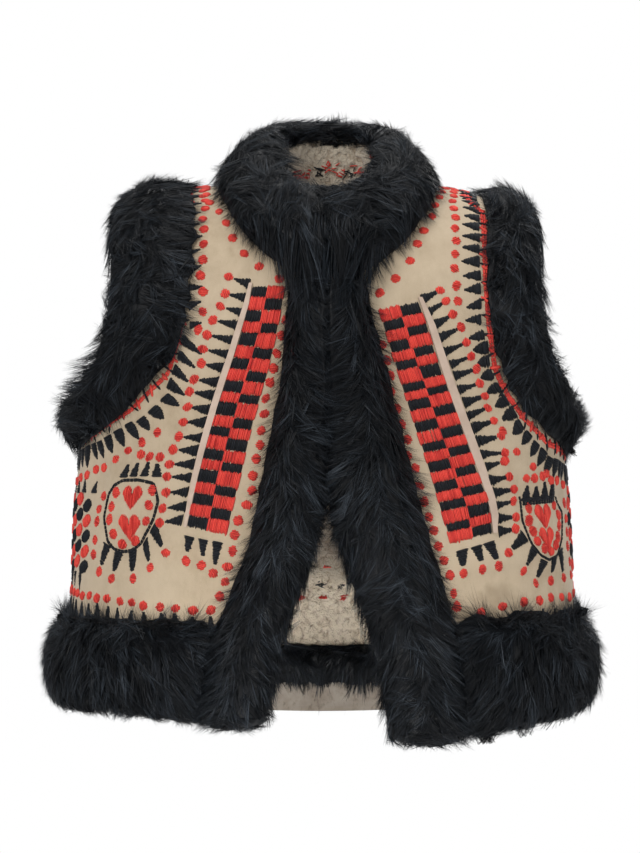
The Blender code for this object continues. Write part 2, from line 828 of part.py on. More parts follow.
def armhole_reach(side, k):
    """How far an armhole's fur lies over the panels, stands out past the edge, and rises, at a station."""
    angle = 360 * k / ARMHOLE_STEPS
    row = between(ARMHOLE_FUR, min(angle, 360 - angle))
    if side > 0:
        return row.over_left, row.beyond_left, row.pile
    return row.over_right, row.beyond_right, row.pile


def armhole_stations(side, places):
    return stations(places[:-1], True, (Vector((side * 0.17, 0.0, ARMHOLE_LEVEL)), -1))


def make_armhole_fur(side, name, places, fur):
    """The fur ring round one armhole."""
    rings = []
    for k, station in enumerate(armhole_stations(side, places)):
        rings.append([station.at(s, n) for s, n in wrapping_section(*armhole_reach(side, k))])
    return swept(f"armhole_fur_{name}", rings, [], True, fur)


def front_hem_section(around):
    return wrapping_section(hem_over(around), HEM_BEYOND, HEM_PILE, WRAP + 0.002)


def make_hem_fur_front(side, name, edge_fur, fur):
    """The fur round the hem of one front, from the side seam to the fur of the front edge."""
    seam, corner = side * (SIDE - SEAM_SHIFT), hem_corner(side)[0]
    obstacle = tree_of(edge_fur)
    flat = front_hem_section(corner)
    ends = []
    for s, _ in flat:

        def slide(distance, lift, s=s):
            around = corner + side * distance
            return on((around, hem_place(around)[1] + s), lift)

        ends.append(corner + side * butted(slide, obstacle, 0.11, -0.0015))
    count = round(abs(seam - ends[0]) / EDGE_STEP)
    rings = []
    for k in range(count + 1):
        ring = []
        for i, end in enumerate(ends):
            around = seam + (end - seam) * k / count
            s, n = front_hem_section(around)[i]
            ring.append(on((around, hem_place(around)[1] + s), n))
        rings.append(ring)
    return swept(f"hem_fur_{name}", rings, flat, False, fur)


def make_back_strip(name, section_at, finish):
    """A strip that runs along the back hem from side seam to side seam, given its section at each place."""
    hem = back_hem()
    rings = [[on((place[0], place[1] - s), n) for s, n in section_at(place[0])] for place in hem]
    return swept(name, rings, section_at(hem[0][0]), False, finish)


def make_back_hem(suede, fur):
    """The fur outside the back hem, and the facing and the narrow fur strip inside it."""
    face = -CLOTH - SEAT_GAP
    strip = lying_section(FACING_HEIGHT + LAYER_GAP, STRIP_HEIGHT, -STRIP_PILE, face, 0.040)
    facing = [(s, face) for s in (0.0, FACING_HEIGHT)] + [(s, face - FACING) for s in (FACING_HEIGHT, 0.0)]

    def outer_section(around):
        return lying_section(0.001, back_hem_over(around), HEM_PILE, SEAT_GAP, STRIP_HEIGHT)

    make_back_strip("hem_fur_back", outer_section, fur)
    make_back_strip("hem_strip_back", lambda around: strip, fur)
    make_back_strip("hem_facing_back", lambda around: facing, suede)


def make_welt(side, name, suede):
    """The narrow welt that runs down the outer side of a chest panel's stitched block."""
    middle, end = WELT_WIDTHS[side]
    line = WELT_LINES[side]
    rings = []
    for k, (x, z) in enumerate(line):
        width = end + (middle - end) * math.sqrt(math.sin(math.pi * k / (len(line) - 1)))
        inner = seek((x / RINGS[0].half_width * UNROLL, z - CHEST), (0, 2), (x, z))
        outer = seek(inner, (0, 2), (x + side * width, z))
        rings.append(
            [on(inner, SEAT_GAP), on(outer, SEAT_GAP), on(outer, SEAT_GAP + WELT), on(inner, SEAT_GAP + WELT)]
        )
    return swept(f"chest_welt_{name}", rings, [(0, 0), (5, 0), (5, 1), (0, 1)], False, suede)


def make_vest():
    suede = material("suede", (0.47, 0.38, 0.27), 0.9)
    pile = material("cream_pile", (0.60, 0.50, 0.37), 0.95)
    fur = material("black_fur", (0.010, 0.012, 0.015), 0.6)
    neck, turns = neck_places()
    armholes = {side: armhole_places(side) for side in (1, -1)}
    make_panels(suede, pile, neck, armholes)
    frames = collar_stations(neck, turns)
    make_collar_lining(frames, pile)
    collar = make_collar_fur(frames, fur)
    for side, name in ((1, "left"), (-1, "right")):
        edge_fur = make_edge_fur(side, name, collar, fur)
        make_hem_fur_front(side, name, edge_fur, fur)
        make_armhole_fur(side, name, armholes[side], fur)
        make_welt(side, name, suede)
    make_back_hem(suede, fur)


for leftover in list(bpy.data.objects):
    bpy.data.objects.remove(leftover, do_unlink=True)
make_vest()
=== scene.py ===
"""Dresses the embroidered folk vest: suede, curly lining, satin stitches and long fur.

The vest is seen from the front along +Y, +Z is up, and +X is the wearer's left. Sizes are in metres.
Every panel is cut from one surface, the form, which is unrolled into a flat pattern of places
(around, rise): around runs from the centre front, or the centre back, towards +X, and rise is 0 at the
chest line, grows to the top of the shoulder and runs on down the back.
"""

import logging
import math
from collections.abc import Callable, Iterable, Sequence
from dataclasses import dataclass, field
from enum import Enum

import bmesh
import bpy
import numpy as np
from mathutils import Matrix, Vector, noise
from mathutils.bvhtree import BVHTree
from mathutils.kdtree import KDTree


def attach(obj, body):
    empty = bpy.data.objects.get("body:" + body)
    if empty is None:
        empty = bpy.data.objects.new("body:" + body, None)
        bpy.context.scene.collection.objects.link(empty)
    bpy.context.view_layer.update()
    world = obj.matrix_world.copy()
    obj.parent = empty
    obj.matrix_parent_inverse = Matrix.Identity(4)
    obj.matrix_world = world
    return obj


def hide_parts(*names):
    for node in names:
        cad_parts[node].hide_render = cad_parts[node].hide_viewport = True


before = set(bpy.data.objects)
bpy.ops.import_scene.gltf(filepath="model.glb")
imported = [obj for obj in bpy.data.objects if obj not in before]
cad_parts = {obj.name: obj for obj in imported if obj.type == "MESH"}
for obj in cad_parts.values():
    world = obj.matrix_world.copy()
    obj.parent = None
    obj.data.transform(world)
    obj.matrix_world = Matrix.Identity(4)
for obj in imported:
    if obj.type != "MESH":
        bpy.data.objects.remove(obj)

LOG = logging.getLogger("vest")
Array = np.ndarray
Triple = tuple[float, float, float]
Chance = np.random.Generator
Mesh = bmesh.types.BMesh
Material = bpy.types.Material
Piece = bpy.types.Object
Socket = bpy.types.NodeSocket
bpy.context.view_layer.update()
# The seed of Blender's own noise. Without one it follows the clock, and each run gives other tufts.
NOISE_SEED = 1795477259


# The form


@dataclass(frozen=True)
class Form:
    """The surface of the suede's outer face, the same one that the solids are cut from."""

    chest: float = -0.140
    shoulder_rise: float = 0.140
    ridge: float = 0.203
    unroll: float = 0.150
    ring_power: float = 2.3
    shoulder_power: float = 4.0
    rings: tuple[tuple[float, float, float, float], ...] = (  # level, half width, front, back
        (-0.460, 0.207, 0.130, 0.120),
        (-0.345, 0.202, 0.124, 0.116),
        (-0.300, 0.199, 0.121, 0.114),
        (-0.215, 0.193, 0.119, 0.113),
        (-0.140, 0.180, 0.118, 0.112),
    )

    def ring(self, level: Array) -> Array:
        """Reads the level rings on a smooth curve.

        Args:
            level: heights, one for each place.

        Returns:
            Half width, front depth and back depth, a row for each height.
        """
        table = np.array(self.rings)
        keys, rows = table[:, 0], table[:, 1:]
        slope = np.zeros_like(rows)
        slope[1:-1] = (rows[2:] - rows[:-2]) / (keys[2:] - keys[:-2])[:, None]
        level = np.clip(level, keys[0], keys[-1])
        at = np.clip(np.searchsorted(keys, level, side="left") - 1, 0, len(keys) - 2)
        span = (keys[at + 1] - keys[at])[:, None]
        t = (level - keys[at])[:, None] / span
        return (
            (2 * t**3 - 3 * t**2 + 1) * rows[at]
            + (t**3 - 2 * t**2 + t) * slope[at] * span
            + (3 * t**2 - 2 * t**3) * rows[at + 1]
            + (t**3 - t**2) * slope[at + 1] * span
        )

    def points(self, places: Array) -> Array:
        """The points of the outer face at places on the pattern.

        Args:
            places: places on the pattern, a row each.

        Returns:
            The points in space, a row each.
        """
        angle, rise = places[:, 0] / self.unroll, places[:, 1]
        behind = rise > self.ridge
        angle = np.where(behind, np.copysign(np.pi, angle) - angle, angle)
        rise = np.where(behind, 2 * self.ridge - rise, rise)
        sine, cosine = np.sin(angle), np.cos(angle)
        power = self.ring_power
        reach = (np.abs(sine) ** power + np.abs(cosine) ** power) ** (-1 / power)
        across, forward = sine * reach, cosine * reach
        turn = np.clip(rise, 0, None) / self.ridge * np.pi / 2
        bow = np.clip(1 - np.abs(across) ** self.shoulder_power, 0, None) ** (1 / self.shoulder_power)
        level = self.chest + np.where(rise <= 0, rise, self.shoulder_rise * bow * np.sin(turn))
        width, front, back = self.ring(self.chest + np.minimum(rise, 0)).T
        depth = np.where(forward > 0, front, back)
        return np.stack([width * across, -depth * forward * np.cos(turn), level], axis=1)

    def slopes(self, places: Array) -> tuple[Array, Array]:
        """How the points move with around and with rise.

        Args:
            places: places on the pattern, a row each.

        Returns:
            The change of the points with around, and with rise.
        """
        tiny = 1e-4
        along, up = np.array([tiny, 0.0]), np.array([0.0, tiny])
        return (
            (self.points(places + along) - self.points(places - along)) / (2 * tiny),
            (self.points(places + up) - self.points(places - up)) / (2 * tiny),
        )

    def normals(self, places: Array) -> Array:
        """The outward normals at places on the pattern."""
        along, up = self.slopes(places)
        return unit(np.cross(along, up))

    def on(self, places: Array, lift: Array | float) -> Array:
        """The points at a height over the outer face; inside it the height is negative."""
        lift = np.broadcast_to(lift, len(places))
        return self.points(places) + self.normals(places) * lift[:, None]

    def nearest(self, points: Array) -> tuple[Array, Array]:
        """Finds the places under points near the form.

        Args:
            points: points in space, a row each.

        Returns:
            Their places on the pattern and their heights over the outer face.
        """
        width, front, back = self.ring(np.minimum(points[:, 2], self.chest)).T
        depth = np.where(points[:, 1] < 0, front, back)
        above = np.clip((points[:, 2] - self.chest) / self.shoulder_rise, 0, 0.995)
        rise = np.where(
            points[:, 2] > self.chest,
            np.arcsin(above) / (np.pi / 2) * self.ridge,
            points[:, 2] - self.chest,
        )
        lean = np.maximum(np.sqrt(1 - above**2), 0.15)
        around = self.unroll * np.arctan2(points[:, 0] / width, np.abs(points[:, 1]) / depth / lean)
        places = np.stack([around, np.where(points[:, 1] < 0, rise, 2 * self.ridge - rise)], axis=1)
        for _ in range(9):
            places = places + self.step(places, points - self.points(places))
        lift = ((points - self.points(places)) * self.normals(places)).sum(axis=1)
        return places, lift

    def step(self, places: Array, moved: Array) -> Array:
        """The change of place that moves points along the form by a small distance in space.

        Args:
            places: places on the pattern, a row each.
            moved: how far each point is to move in space.

        Returns:
            The change of each place.
        """
        along, up = self.slopes(places)
        aa, ab, bb = (along * along).sum(1), (along * up).sum(1), (up * up).sum(1)
        a, b = (along * moved).sum(1), (up * moved).sum(1)
        det = np.maximum(aa * bb - ab * ab, 1e-9)
        step = np.stack([(bb * a - ab * b) / det, (aa * b - ab * a) / det], axis=1)
        length = np.linalg.norm(step, axis=1)
        return step * np.minimum(1.0, 0.03 / np.maximum(length, 1e-9))[:, None]


def unit(vectors: Array) -> Array:
    """The vectors with length 1, a row each."""
    return vectors / np.maximum(np.linalg.norm(vectors, axis=1), 1e-12)[:, None]


FORM = Form()


@dataclass(frozen=True)
class Crease:
    """A soft trough, or a ridge where depth is negative, between two places on the pattern."""

    start: tuple[float, float]
    end: tuple[float, float]
    width: float
    depth: float

    def height(self, places: Array) -> Array:
        """How far the cloth moves out of its plain form at places on the pattern.

        Args:
            places: places on the pattern, a row each.

        Returns:
            The height at each place.
        """
        start, end = np.array(self.start), np.array(self.end)
        run = end - start
        t = np.clip(((places - start) @ run) / (run @ run), -0.25, 1.25)
        bend = 0.12 * np.linalg.norm(run) * np.sin(t * 3.1)
        away = np.abs(((places - start) @ np.array([-run[1], run[0]])) / np.linalg.norm(run) - bend)
        fade = np.clip(1 - np.abs(t - 0.5) ** 2.5 * 3.2, 0, None)
        trough = np.exp(-((away / self.width) ** 2)) - 0.35 * np.exp(-(((away / self.width) - 1.7) ** 2))
        return -self.depth * fade * trough


@dataclass(frozen=True)
class Drape:
    """The cloth's own lie over the form: its creases and a slow unevenness."""

    unevenness: float = 0.0011
    swell: float = 0.055
    creases: tuple[Crease, ...] = (
        Crease((-0.072, 0.030), (-0.052, 0.090), 0.0060, 0.0010),
        Crease((0.040, 0.052), (0.082, 0.078), 0.0070, 0.0012),
        Crease((-0.145, -0.205), (-0.060, -0.185), 0.0110, 0.0022),
        Crease((0.070, -0.190), (0.165, -0.176), 0.0100, 0.0024),
        Crease((0.090, -0.155), (0.130, -0.172), 0.0080, -0.0012),
        Crease((-0.190, -0.060), (-0.150, -0.110), 0.0100, 0.0016),
        Crease((0.200, -0.075), (0.165, -0.120), 0.0090, 0.0014),
        Crease((-0.120, 0.300), (-0.030, 0.318), 0.0120, 0.0018),
        Crease((0.030, 0.330), (0.135, 0.345), 0.0110, 0.0020),
        Crease((-0.150, 0.470), (-0.050, 0.455), 0.0120, 0.0022),
        Crease((0.045, 0.480), (0.165, 0.462), 0.0130, 0.0024),
        Crease((-0.030, 0.520), (0.060, 0.535), 0.0100, -0.0014),
        Crease((0.190, 0.420), (0.140, 0.470), 0.0100, 0.0016),
        Crease((-0.195, 0.400), (-0.150, 0.440), 0.0090, 0.0015),
    )

    def height(self, places: Array) -> Array:
        """The cloth's height over the plain form at places on the pattern.

        Args:
            places: places on the pattern, a row each.

        Returns:
            The height at each place.
        """
        slow = np.sin(places[:, 0] / self.swell * 2.1 + 1.3) * np.cos(places[:, 1] / self.swell * 1.7 - 0.4)
        fine = np.sin(places[:, 0] / self.swell * 4.6 - places[:, 1] / self.swell * 3.1)
        height = self.unevenness * (0.65 * slow + 0.35 * fine)
        for crease in self.creases:
            height = height + crease.height(places)
        return height


DRAPE = Drape()


# Finishes


class Shader:
    """A procedural material under construction."""

    def __init__(self, name: str, roughness: float, **sockets: float | tuple[float, ...]) -> None:
        """Starts a material with one principled surface; sockets are its own constant values.

        Args:
            name: the material's name.
            roughness: its roughness.
            sockets: other sockets of the surface, with _ for a space.
        """
        self.material = bpy.data.materials.new(name)
        self.material.use_nodes = True
        self.nodes = self.material.node_tree.nodes
        self.links = self.material.node_tree.links
        self.surface = next(node for node in self.nodes if node.type == "BSDF_PRINCIPLED")
        self.surface.inputs["Roughness"].default_value = roughness
        for socket, value in sockets.items():
            self.surface.inputs[socket.replace("_", " ")].default_value = value

    def node(self, kind: str, settings: dict[str, object] | None = None, **inputs: object) -> bpy.types.Node:
        """Adds a node.

        Args:
            kind: the node's type, without the ShaderNode prefix.
            settings: its properties.
            inputs: its sockets by name, each a value or another node's output.

        Returns:
            The new node.
        """
        made = self.nodes.new("ShaderNode" + kind)
        for name, value in (settings or {}).items():
            setattr(made, name, value)
        for name, value in inputs.items():
            numbered = name[0] == "i" and name[1:].isdigit()
            socket = made.inputs[int(name[1:]) if numbered else name]
            if isinstance(value, Socket):
                self.links.new(value, socket)
            else:
                socket.default_value = value
        return made

    def place(self, scale: float | Triple) -> Socket:
        """Object coordinates, scaled.

        Args:
            scale: one scale, or one for each axis.

        Returns:
            The scaled coordinates.
        """
        scale = (scale,) * 3 if isinstance(scale, (int, float)) else scale
        where = self.node("TexCoord").outputs["Object"]
        return self.node("Mapping", Vector=where, Scale=scale).outputs["Vector"]

    def cloud(self, where: Socket, detail: float, roughness: float) -> Socket:
        """Soft noise from 0 to 1.

        Args:
            where: the coordinates.
            detail: how many layers it has.
            roughness: how strong the fine layers are.

        Returns:
            The noise.
        """
        noise = self.node("TexNoise", Vector=where, Scale=1.0, Detail=detail, Roughness=roughness)
        return noise.outputs["Fac"]

    def bent(self, place: Socket, noise_colour: Socket, reach: float) -> Socket:
        """A place moved about by a noise's colour, up to half of reach each way.

        Args:
            place: the place.
            noise_colour: the colour that moves it.
            reach: how far it moves.

        Returns:
            The moved place.
        """
        off = self.vector("SUBTRACT", i0=noise_colour, i1=(0.5, 0.5, 0.5))
        return self.vector("ADD", i0=place, i1=self.vector("SCALE", i0=off, Scale=reach * 2))

    def vector(self, operation: str, **inputs: object) -> Socket:
        """One sum on vectors."""
        return self.node("VectorMath", {"operation": operation}, **inputs).outputs[0]

    def tufts(self, place: Socket, size: float) -> Socket:
        """Rounded tufts with soft gaps between them: 0 in a gap and 1 on a tuft."""
        cells = self.node("TexVoronoi", Vector=place, Scale=1 / size, Randomness=1.0).outputs["Distance"]
        return self.ramp(cells, (0.10, 1.0), (0.45, 0.80), (0.62, 0.40), (0.80, 0.0))

    def ramp(self, value: Socket, *stops: tuple[float, float]) -> Socket:
        """A value carried over grey stops, each a position and a level."""
        return self.colours(value, *((at, (level, level, level)) for at, level in stops))

    def colours(
        self, value: Socket, *stops: tuple[float, Triple]
    ) -> Socket:
        """A value carried over coloured stops, each a position and a colour.

        Args:
            value: a value from 0 to 1.
            stops: the positions and their colours.

        Returns:
            The colour.
        """
        made = self.node("ValToRGB", Fac=value)
        bar = made.color_ramp.elements
        while len(bar) < len(stops):
            bar.new(1.0)
        for element, (at, colour) in zip(bar, stops):
            element.position = at
            element.color = (*colour, 1.0)
        return made.outputs["Color"]

    def mix(
        self, share: Socket | float, low: object, high: object, blend: str = "MIX"
    ) -> Socket:
        """Two colours mixed, or multiplied and so on, by a share.

        Args:
            share: the share of high.
            low: the first colour.
            high: the second colour.
            blend: the way they are blended.

        Returns:
            The mixed colour.
        """
        made = self.node("Mix", {"data_type": "RGBA", "blend_type": blend})
        for index, value in ((0, share), (6, low), (7, high)):
            if isinstance(value, Socket):
                self.links.new(value, made.inputs[index])
            elif index:
                made.inputs[index].default_value = (*value, 1.0)
            else:
                made.inputs[index].default_value = value
        return made.outputs[2]

    def maths(self, operation: str, first: object, second: object = 0.0, clamp: bool = False) -> Socket:
        """One sum on two values."""
        return self.node("Math", {"operation": operation, "use_clamp": clamp}, i0=first, i1=second).outputs[0]

    def weighted(self, first: object, share: float, second: object, other: float) -> Socket:
        """The sum of two values, each times its own share."""
        return self.maths("ADD", self.maths("MULTIPLY", first, share), self.maths("MULTIPLY", second, other))

    def attribute(self, name: str) -> Socket:
        """A value that the piece's own mesh carries."""
        return self.node("Attribute", {"attribute_name": name}).outputs["Fac"]

    def finish(
        self,
        colour: Socket,
        height: Socket | None = None,
        distance: float = 0.0005,
        strength: float = 0.5,
    ) -> Material:
        """Joins the colour and the relief to the surface.

        Args:
            colour: the base colour.
            height: the relief, if there is one.
            distance: how deep the relief is.
            strength: how strongly it shows.

        Returns:
            The material.
        """
        self.links.new(colour, self.surface.inputs["Base Color"])
        if height is not None:
            bump = self.node("Bump", Strength=strength, Distance=distance, Height=height)
            self.links.new(bump.outputs["Normal"], self.surface.inputs["Normal"])
        return self.material


@dataclass(frozen=True)
class Stain:
    """A darker spot on the suede, at a place on the pattern."""

    around: float
    rise: float
    wide: float
    high: float
    depth: float


@dataclass(frozen=True)
class SuedeFinish:
    """Napped suede: soft mottling, brushed nap, fine creases and old stains."""

    name: str = "suede"
    light: Triple = (0.585, 0.470, 0.330)
    middle: Triple = (0.530, 0.420, 0.290)
    dark: Triple = (0.420, 0.322, 0.212)
    stained: Triple = (0.245, 0.185, 0.120)
    stains: tuple[Stain, ...] = (
        Stain(0.108, -0.183, 0.030, 0.022, 0.42),
        Stain(0.050, -0.120, 0.020, 0.030, 0.30),
        Stain(-0.075, 0.062, 0.030, 0.026, 0.16),
        Stain(-0.062, -0.160, 0.034, 0.020, 0.16),
        Stain(0.082, 0.060, 0.026, 0.020, 0.14),
        Stain(-0.090, 0.420, 0.045, 0.030, 0.22),
        Stain(0.070, 0.340, 0.050, 0.034, 0.18),
    )

    def make(self) -> Material:
        """Builds the material.

        Returns:
            The material.
        """
        shader = Shader(self.name, 0.92, Sheen_Weight=0.35, Sheen_Roughness=0.45, Specular_IOR_Level=0.15)
        broad = shader.cloud(shader.place(19.0), 4.0, 0.62)
        brushed = shader.cloud(shader.place((110.0, 110.0, 60.0)), 5.0, 0.7)
        nap = shader.cloud(shader.place(1500.0), 3.0, 0.7)
        tone = shader.weighted(broad, 0.62, brushed, 0.38)
        colour = shader.colours(tone, (0.30, self.dark), (0.47, self.middle), (0.62, self.light))
        colour = shader.mix(shader.ramp(nap, (0.35, 0.16), (0.65, 0.0)), colour, self.dark)
        for stain in self.stains:
            colour = shader.mix(self.spot(shader, stain, broad), colour, self.stained)
        relief = shader.maths("ADD", nap, shader.maths("MULTIPLY", brushed, 0.8))
        return shader.finish(colour, relief, 0.0006, 0.55)

    def spot(self, shader: Shader, stain: Stain, cloud: Socket) -> Socket:
        """How strongly a stain covers each point, with a ragged edge.

        Args:
            shader: the material under construction.
            stain: the stain.
            cloud: the noise that makes its edge ragged.

        Returns:
            The cover, from 0 to the depth of the stain.
        """
        where = shader.node(
            "Mapping",
            {"vector_type": "POINT"},
            Vector=shader.node("UVMap", {"uv_map": "pattern"}).outputs["UV"],
            Location=(-stain.around / stain.wide, -stain.rise / stain.high, 0.0),
            Scale=(1 / stain.wide, 1 / stain.high, 0.0),
        ).outputs["Vector"]
        away = shader.node("VectorMath", {"operation": "LENGTH"}, Vector=where).outputs["Value"]
        ragged = shader.maths("ADD", away, shader.maths("MULTIPLY", cloud, 1.1))
        return shader.ramp(ragged, (0.55, stain.depth), (1.45, 0.0))


@dataclass(frozen=True)
class SmoothSkinFinish:
    """Suede's smooth side, as the welts and the hem's facing show it."""

    name: str
    light: Triple
    dark: Triple
    speckle: float = 0.0
    smudge_and_shadow: Triple = (0.10, 0.07, 0.045)

    def make(self) -> Material:
        """Builds the material.

        Returns:
            The material.
        """
        shader = Shader(self.name, 0.72, Sheen_Weight=0.15, Specular_IOR_Level=0.25)
        broad = shader.cloud(shader.place(60.0), 4.0, 0.6)
        grain = shader.cloud(shader.place(1300.0), 3.0, 0.6)
        colour = shader.colours(broad, (0.35, self.dark), (0.62, self.light))
        # The dark flecks are partly smudges and partly painted shadows of stray hairs.
        if self.speckle:
            flecks = shader.cloud(shader.place((260.0, 260.0, 170.0)), 3.0, 0.7)
            cover = shader.ramp(flecks, (0.54, 0.0), (0.68, self.speckle))
            colour = shader.mix(cover, colour, self.smudge_and_shadow)
        return shader.finish(colour, grain, 0.0004, 0.4)


@dataclass(frozen=True)
class PileFinish:
    """Curly cream pile: bright curls, with painted shade in the crevices between them and over the pile's
    upper part.
    """

    name: str = "cream_pile"
    light: Triple = (0.900, 0.780, 0.610)
    middle: Triple = (0.700, 0.570, 0.420)
    # The colour of the painted shade in the crevices between the curls.
    dark: Triple = (0.330, 0.235, 0.155)
    # The colour of the painted shade over the pile's upper part.
    painted_shade: Triple = (0.100, 0.075, 0.058)
    curl_size: float = 0.0050

    def make(self) -> Material:
        """Builds the material.

        Returns:
            The material.
        """
        shader = Shader(self.name, 0.95, Sheen_Weight=0.4, Sheen_Roughness=0.5, Specular_IOR_Level=0.1)
        curl = shader.attribute("curl")
        place = shader.place(1.0)
        bump = shader.cloud(shader.place(45.0), 2.0, 0.5)
        bend = shader.node("TexNoise", Vector=shader.place(170.0), Scale=1.0, Detail=2.0, Roughness=0.6)
        bend = bend.outputs["Color"]
        loops = shader.tufts(shader.bent(place, bend, 0.0042), self.curl_size)
        small = shader.tufts(shader.bent(place, bend, 0.0060), self.curl_size * 0.45)
        fibre = shader.cloud(shader.place(1100.0), 4.0, 0.75)
        height = shader.weighted(loops, 0.65, small, 0.35)
        height = shader.weighted(height, 0.75, curl, 0.30)
        # The colour follows the curls' height: painted shade in the crevices, light cream on the tops.
        colour = shader.colours(height, (0.10, self.dark), (0.38, self.middle), (0.66, self.light))
        colour = shader.mix(shader.ramp(fibre, (0.36, 0.25), (0.56, 0.0)), colour, self.middle)
        # Painted shade: above about z = -0.33, with a ragged lower edge, the pile is darkened, most just
        # above that height and less further up.
        rise = shader.node("SeparateXYZ", Vector=place).outputs["Z"]
        high = shader.maths("ADD", shader.maths("ADD", rise, 0.315), shader.maths("MULTIPLY", bump, 0.04))
        fade = shader.maths("MULTIPLY", rise, -3.0, clamp=True)
        most = shader.maths("ADD", shader.maths("MULTIPLY", fade, 0.62), 0.25)
        painted_shade = shader.maths("MULTIPLY", shader.maths("MULTIPLY", high, 25.0, clamp=True), most)
        colour = shader.mix(painted_shade, colour, self.painted_shade)
        relief = shader.maths("ADD", shader.maths("MULTIPLY", fibre, 0.25), height)
        return shader.finish(colour, relief, 0.0030, 0.9)


@dataclass(frozen=True)
class FurFinish:
    """Long black fur: painted shade darkens each hair towards its root, deep in the fur, and the tips of some
    locks are cool grey, partly paler guard hairs and partly painted highlights.
    """

    name: str
    # The root colour is painted shade, deep in the fur.
    root: Triple = (0.0008, 0.0011, 0.0016)
    body: Triple = (0.0034, 0.0048, 0.0070)
    # The cool grey of the paler guard hairs and of the painted highlights.
    pale: Triple = (0.0800, 0.0980, 0.1200)
    pale_share: float = 0.36

    def make(self) -> Material:
        """Builds the material.

        Returns:
            The material.
        """
        shader = Shader(self.name, 0.42, Specular_IOR_Level=0.20, Sheen_Weight=0.02, Sheen_Roughness=0.35)
        shader.surface.inputs["Sheen Tint"].default_value = (0.55, 0.62, 0.72, 1.0)
        along, tone = shader.attribute("along"), shader.attribute("tone")
        low = 1 - self.pale_share
        # The paler tones are partly guard hairs and partly painted highlights on the tips of some locks.
        body = shader.colours(tone, (0.10, self.root), (0.45, self.body), (low, self.body), (1.0, self.pale))
        # Painted shade: each hair darkens to the root colour towards its root, deep in the fur.
        colour = shader.mix(shader.ramp(along, (0.15, 1.0), (0.85, 0.0)), body, self.root)
        return shader.finish(colour)


@dataclass(frozen=True)
class ThreadFinish:
    """Soft, slightly glossy embroidery thread, twisted from fine plies."""

    name: str
    light: Triple
    dark: Triple
    gloss: float = 0.5

    def make(self) -> Material:
        """Builds the material.

        Returns:
            The material.
        """
        shader = Shader(
            self.name, self.gloss, Specular_IOR_Level=0.22, Sheen_Weight=0.04, Sheen_Roughness=0.4
        )
        plies = shader.node("UVMap", {"uv_map": "pattern"}).outputs["UV"]
        twist = shader.node("Mapping", Vector=plies, Scale=(1400.0, 1400.0, 1.0), Rotation=(0.0, 0.0, 0.6))
        fibre = shader.cloud(twist.outputs["Vector"], 2.0, 0.6)
        broad = shader.cloud(shader.place(120.0), 2.0, 0.5)
        tone = shader.maths("ADD", shader.maths("MULTIPLY", shader.attribute("tone"), 0.65), broad)
        colour = shader.colours(tone, (0.30, self.dark), (0.95, self.light))
        colour = shader.mix(shader.ramp(fibre, (0.34, 0.4), (0.56, 0.0)), colour, self.dark)
        return shader.finish(colour, fibre, 0.0003, 0.4)


# Meshes


def placed(name: str, data: bpy.types.ID) -> Piece:
    """Links new data to the scene as an object.

    Args:
        name: the object's name.
        data: its mesh, camera or light.

    Returns:
        The object.
    """
    made = bpy.data.objects.new(name, data)
    bpy.context.scene.collection.objects.link(made)
    return made


def smoothed(mesh: Mesh, factor: float) -> None:
    """Evens out the points of a bmesh once."""
    axes = {f"use_axis_{axis}": True for axis in "xyz"}
    bmesh.ops.smooth_vert(mesh, verts=mesh.verts[:], factor=factor, **axes)


def named(mesh: Mesh, name: str, *materials: Material) -> Piece:
    """Makes an object from a bmesh, with smooth faces.

    Args:
        mesh: the finished bmesh, which is freed.
        name: the piece's name.
        materials: its material slots in order.

    Returns:
        The object, linked to the scene.
    """
    data = bpy.data.meshes.new(name)
    mesh.to_mesh(data)
    mesh.free()
    data.shade_smooth()
    for material in materials:
        data.materials.append(material)
    return placed(name, data)


def solid_mesh(node: str) -> Mesh:
    """A merged copy of a solid's own mesh.

    Args:
        node: the name of the solid.

    Returns:
        A new bmesh, which the caller frees.
    """
    mesh = bmesh.new()
    mesh.from_mesh(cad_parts[node].data)
    bmesh.ops.remove_doubles(mesh, verts=mesh.verts[:], dist=2e-6)
    return mesh


def spots_of(mesh: Mesh) -> Array:
    """The points of a bmesh, a row each."""
    return np.array([vert.co[:] for vert in mesh.verts])


def move_to(mesh: Mesh, points: Array) -> None:
    """Moves the points of a bmesh."""
    for vert, point in zip(mesh.verts, points):
        vert.co = point


def refine(mesh: Mesh, wanted: Array, cuts: int) -> None:
    """Cuts up the faces whose corners are all wanted, and leaves the rest closed against them.

    Args:
        mesh: the bmesh to cut up.
        wanted: for each point, whether it is wanted.
        cuts: how many cuts each edge gets.
    """
    mesh.verts.index_update()
    edges = [edge for edge in mesh.edges if all(wanted[vert.index] for vert in edge.verts)]
    bmesh.ops.subdivide_edges(mesh, edges=edges, cuts=cuts, use_grid_fill=True)
    bmesh.ops.triangulate(mesh, faces=[face for face in mesh.faces if len(face.verts) > 4])


def point_values(data: bpy.types.Mesh, name: str, values: Array) -> None:
    """Gives a mesh a named value at each point."""
    data.attributes.new(name, "FLOAT", "POINT").data.foreach_set("value", values.astype(np.float32))


def pattern_map(data: bpy.types.Mesh, places: Array) -> None:
    """Gives a mesh its flat pattern, in metres, from a place for each point.

    Args:
        data: the mesh.
        places: the place of each point.
    """
    corners = np.empty(len(data.loops), np.int32)
    data.loops.foreach_get("vertex_index", corners)
    data.uv_layers.new(name="pattern").data.foreach_set("uv", places[corners].astype(np.float32).ravel())


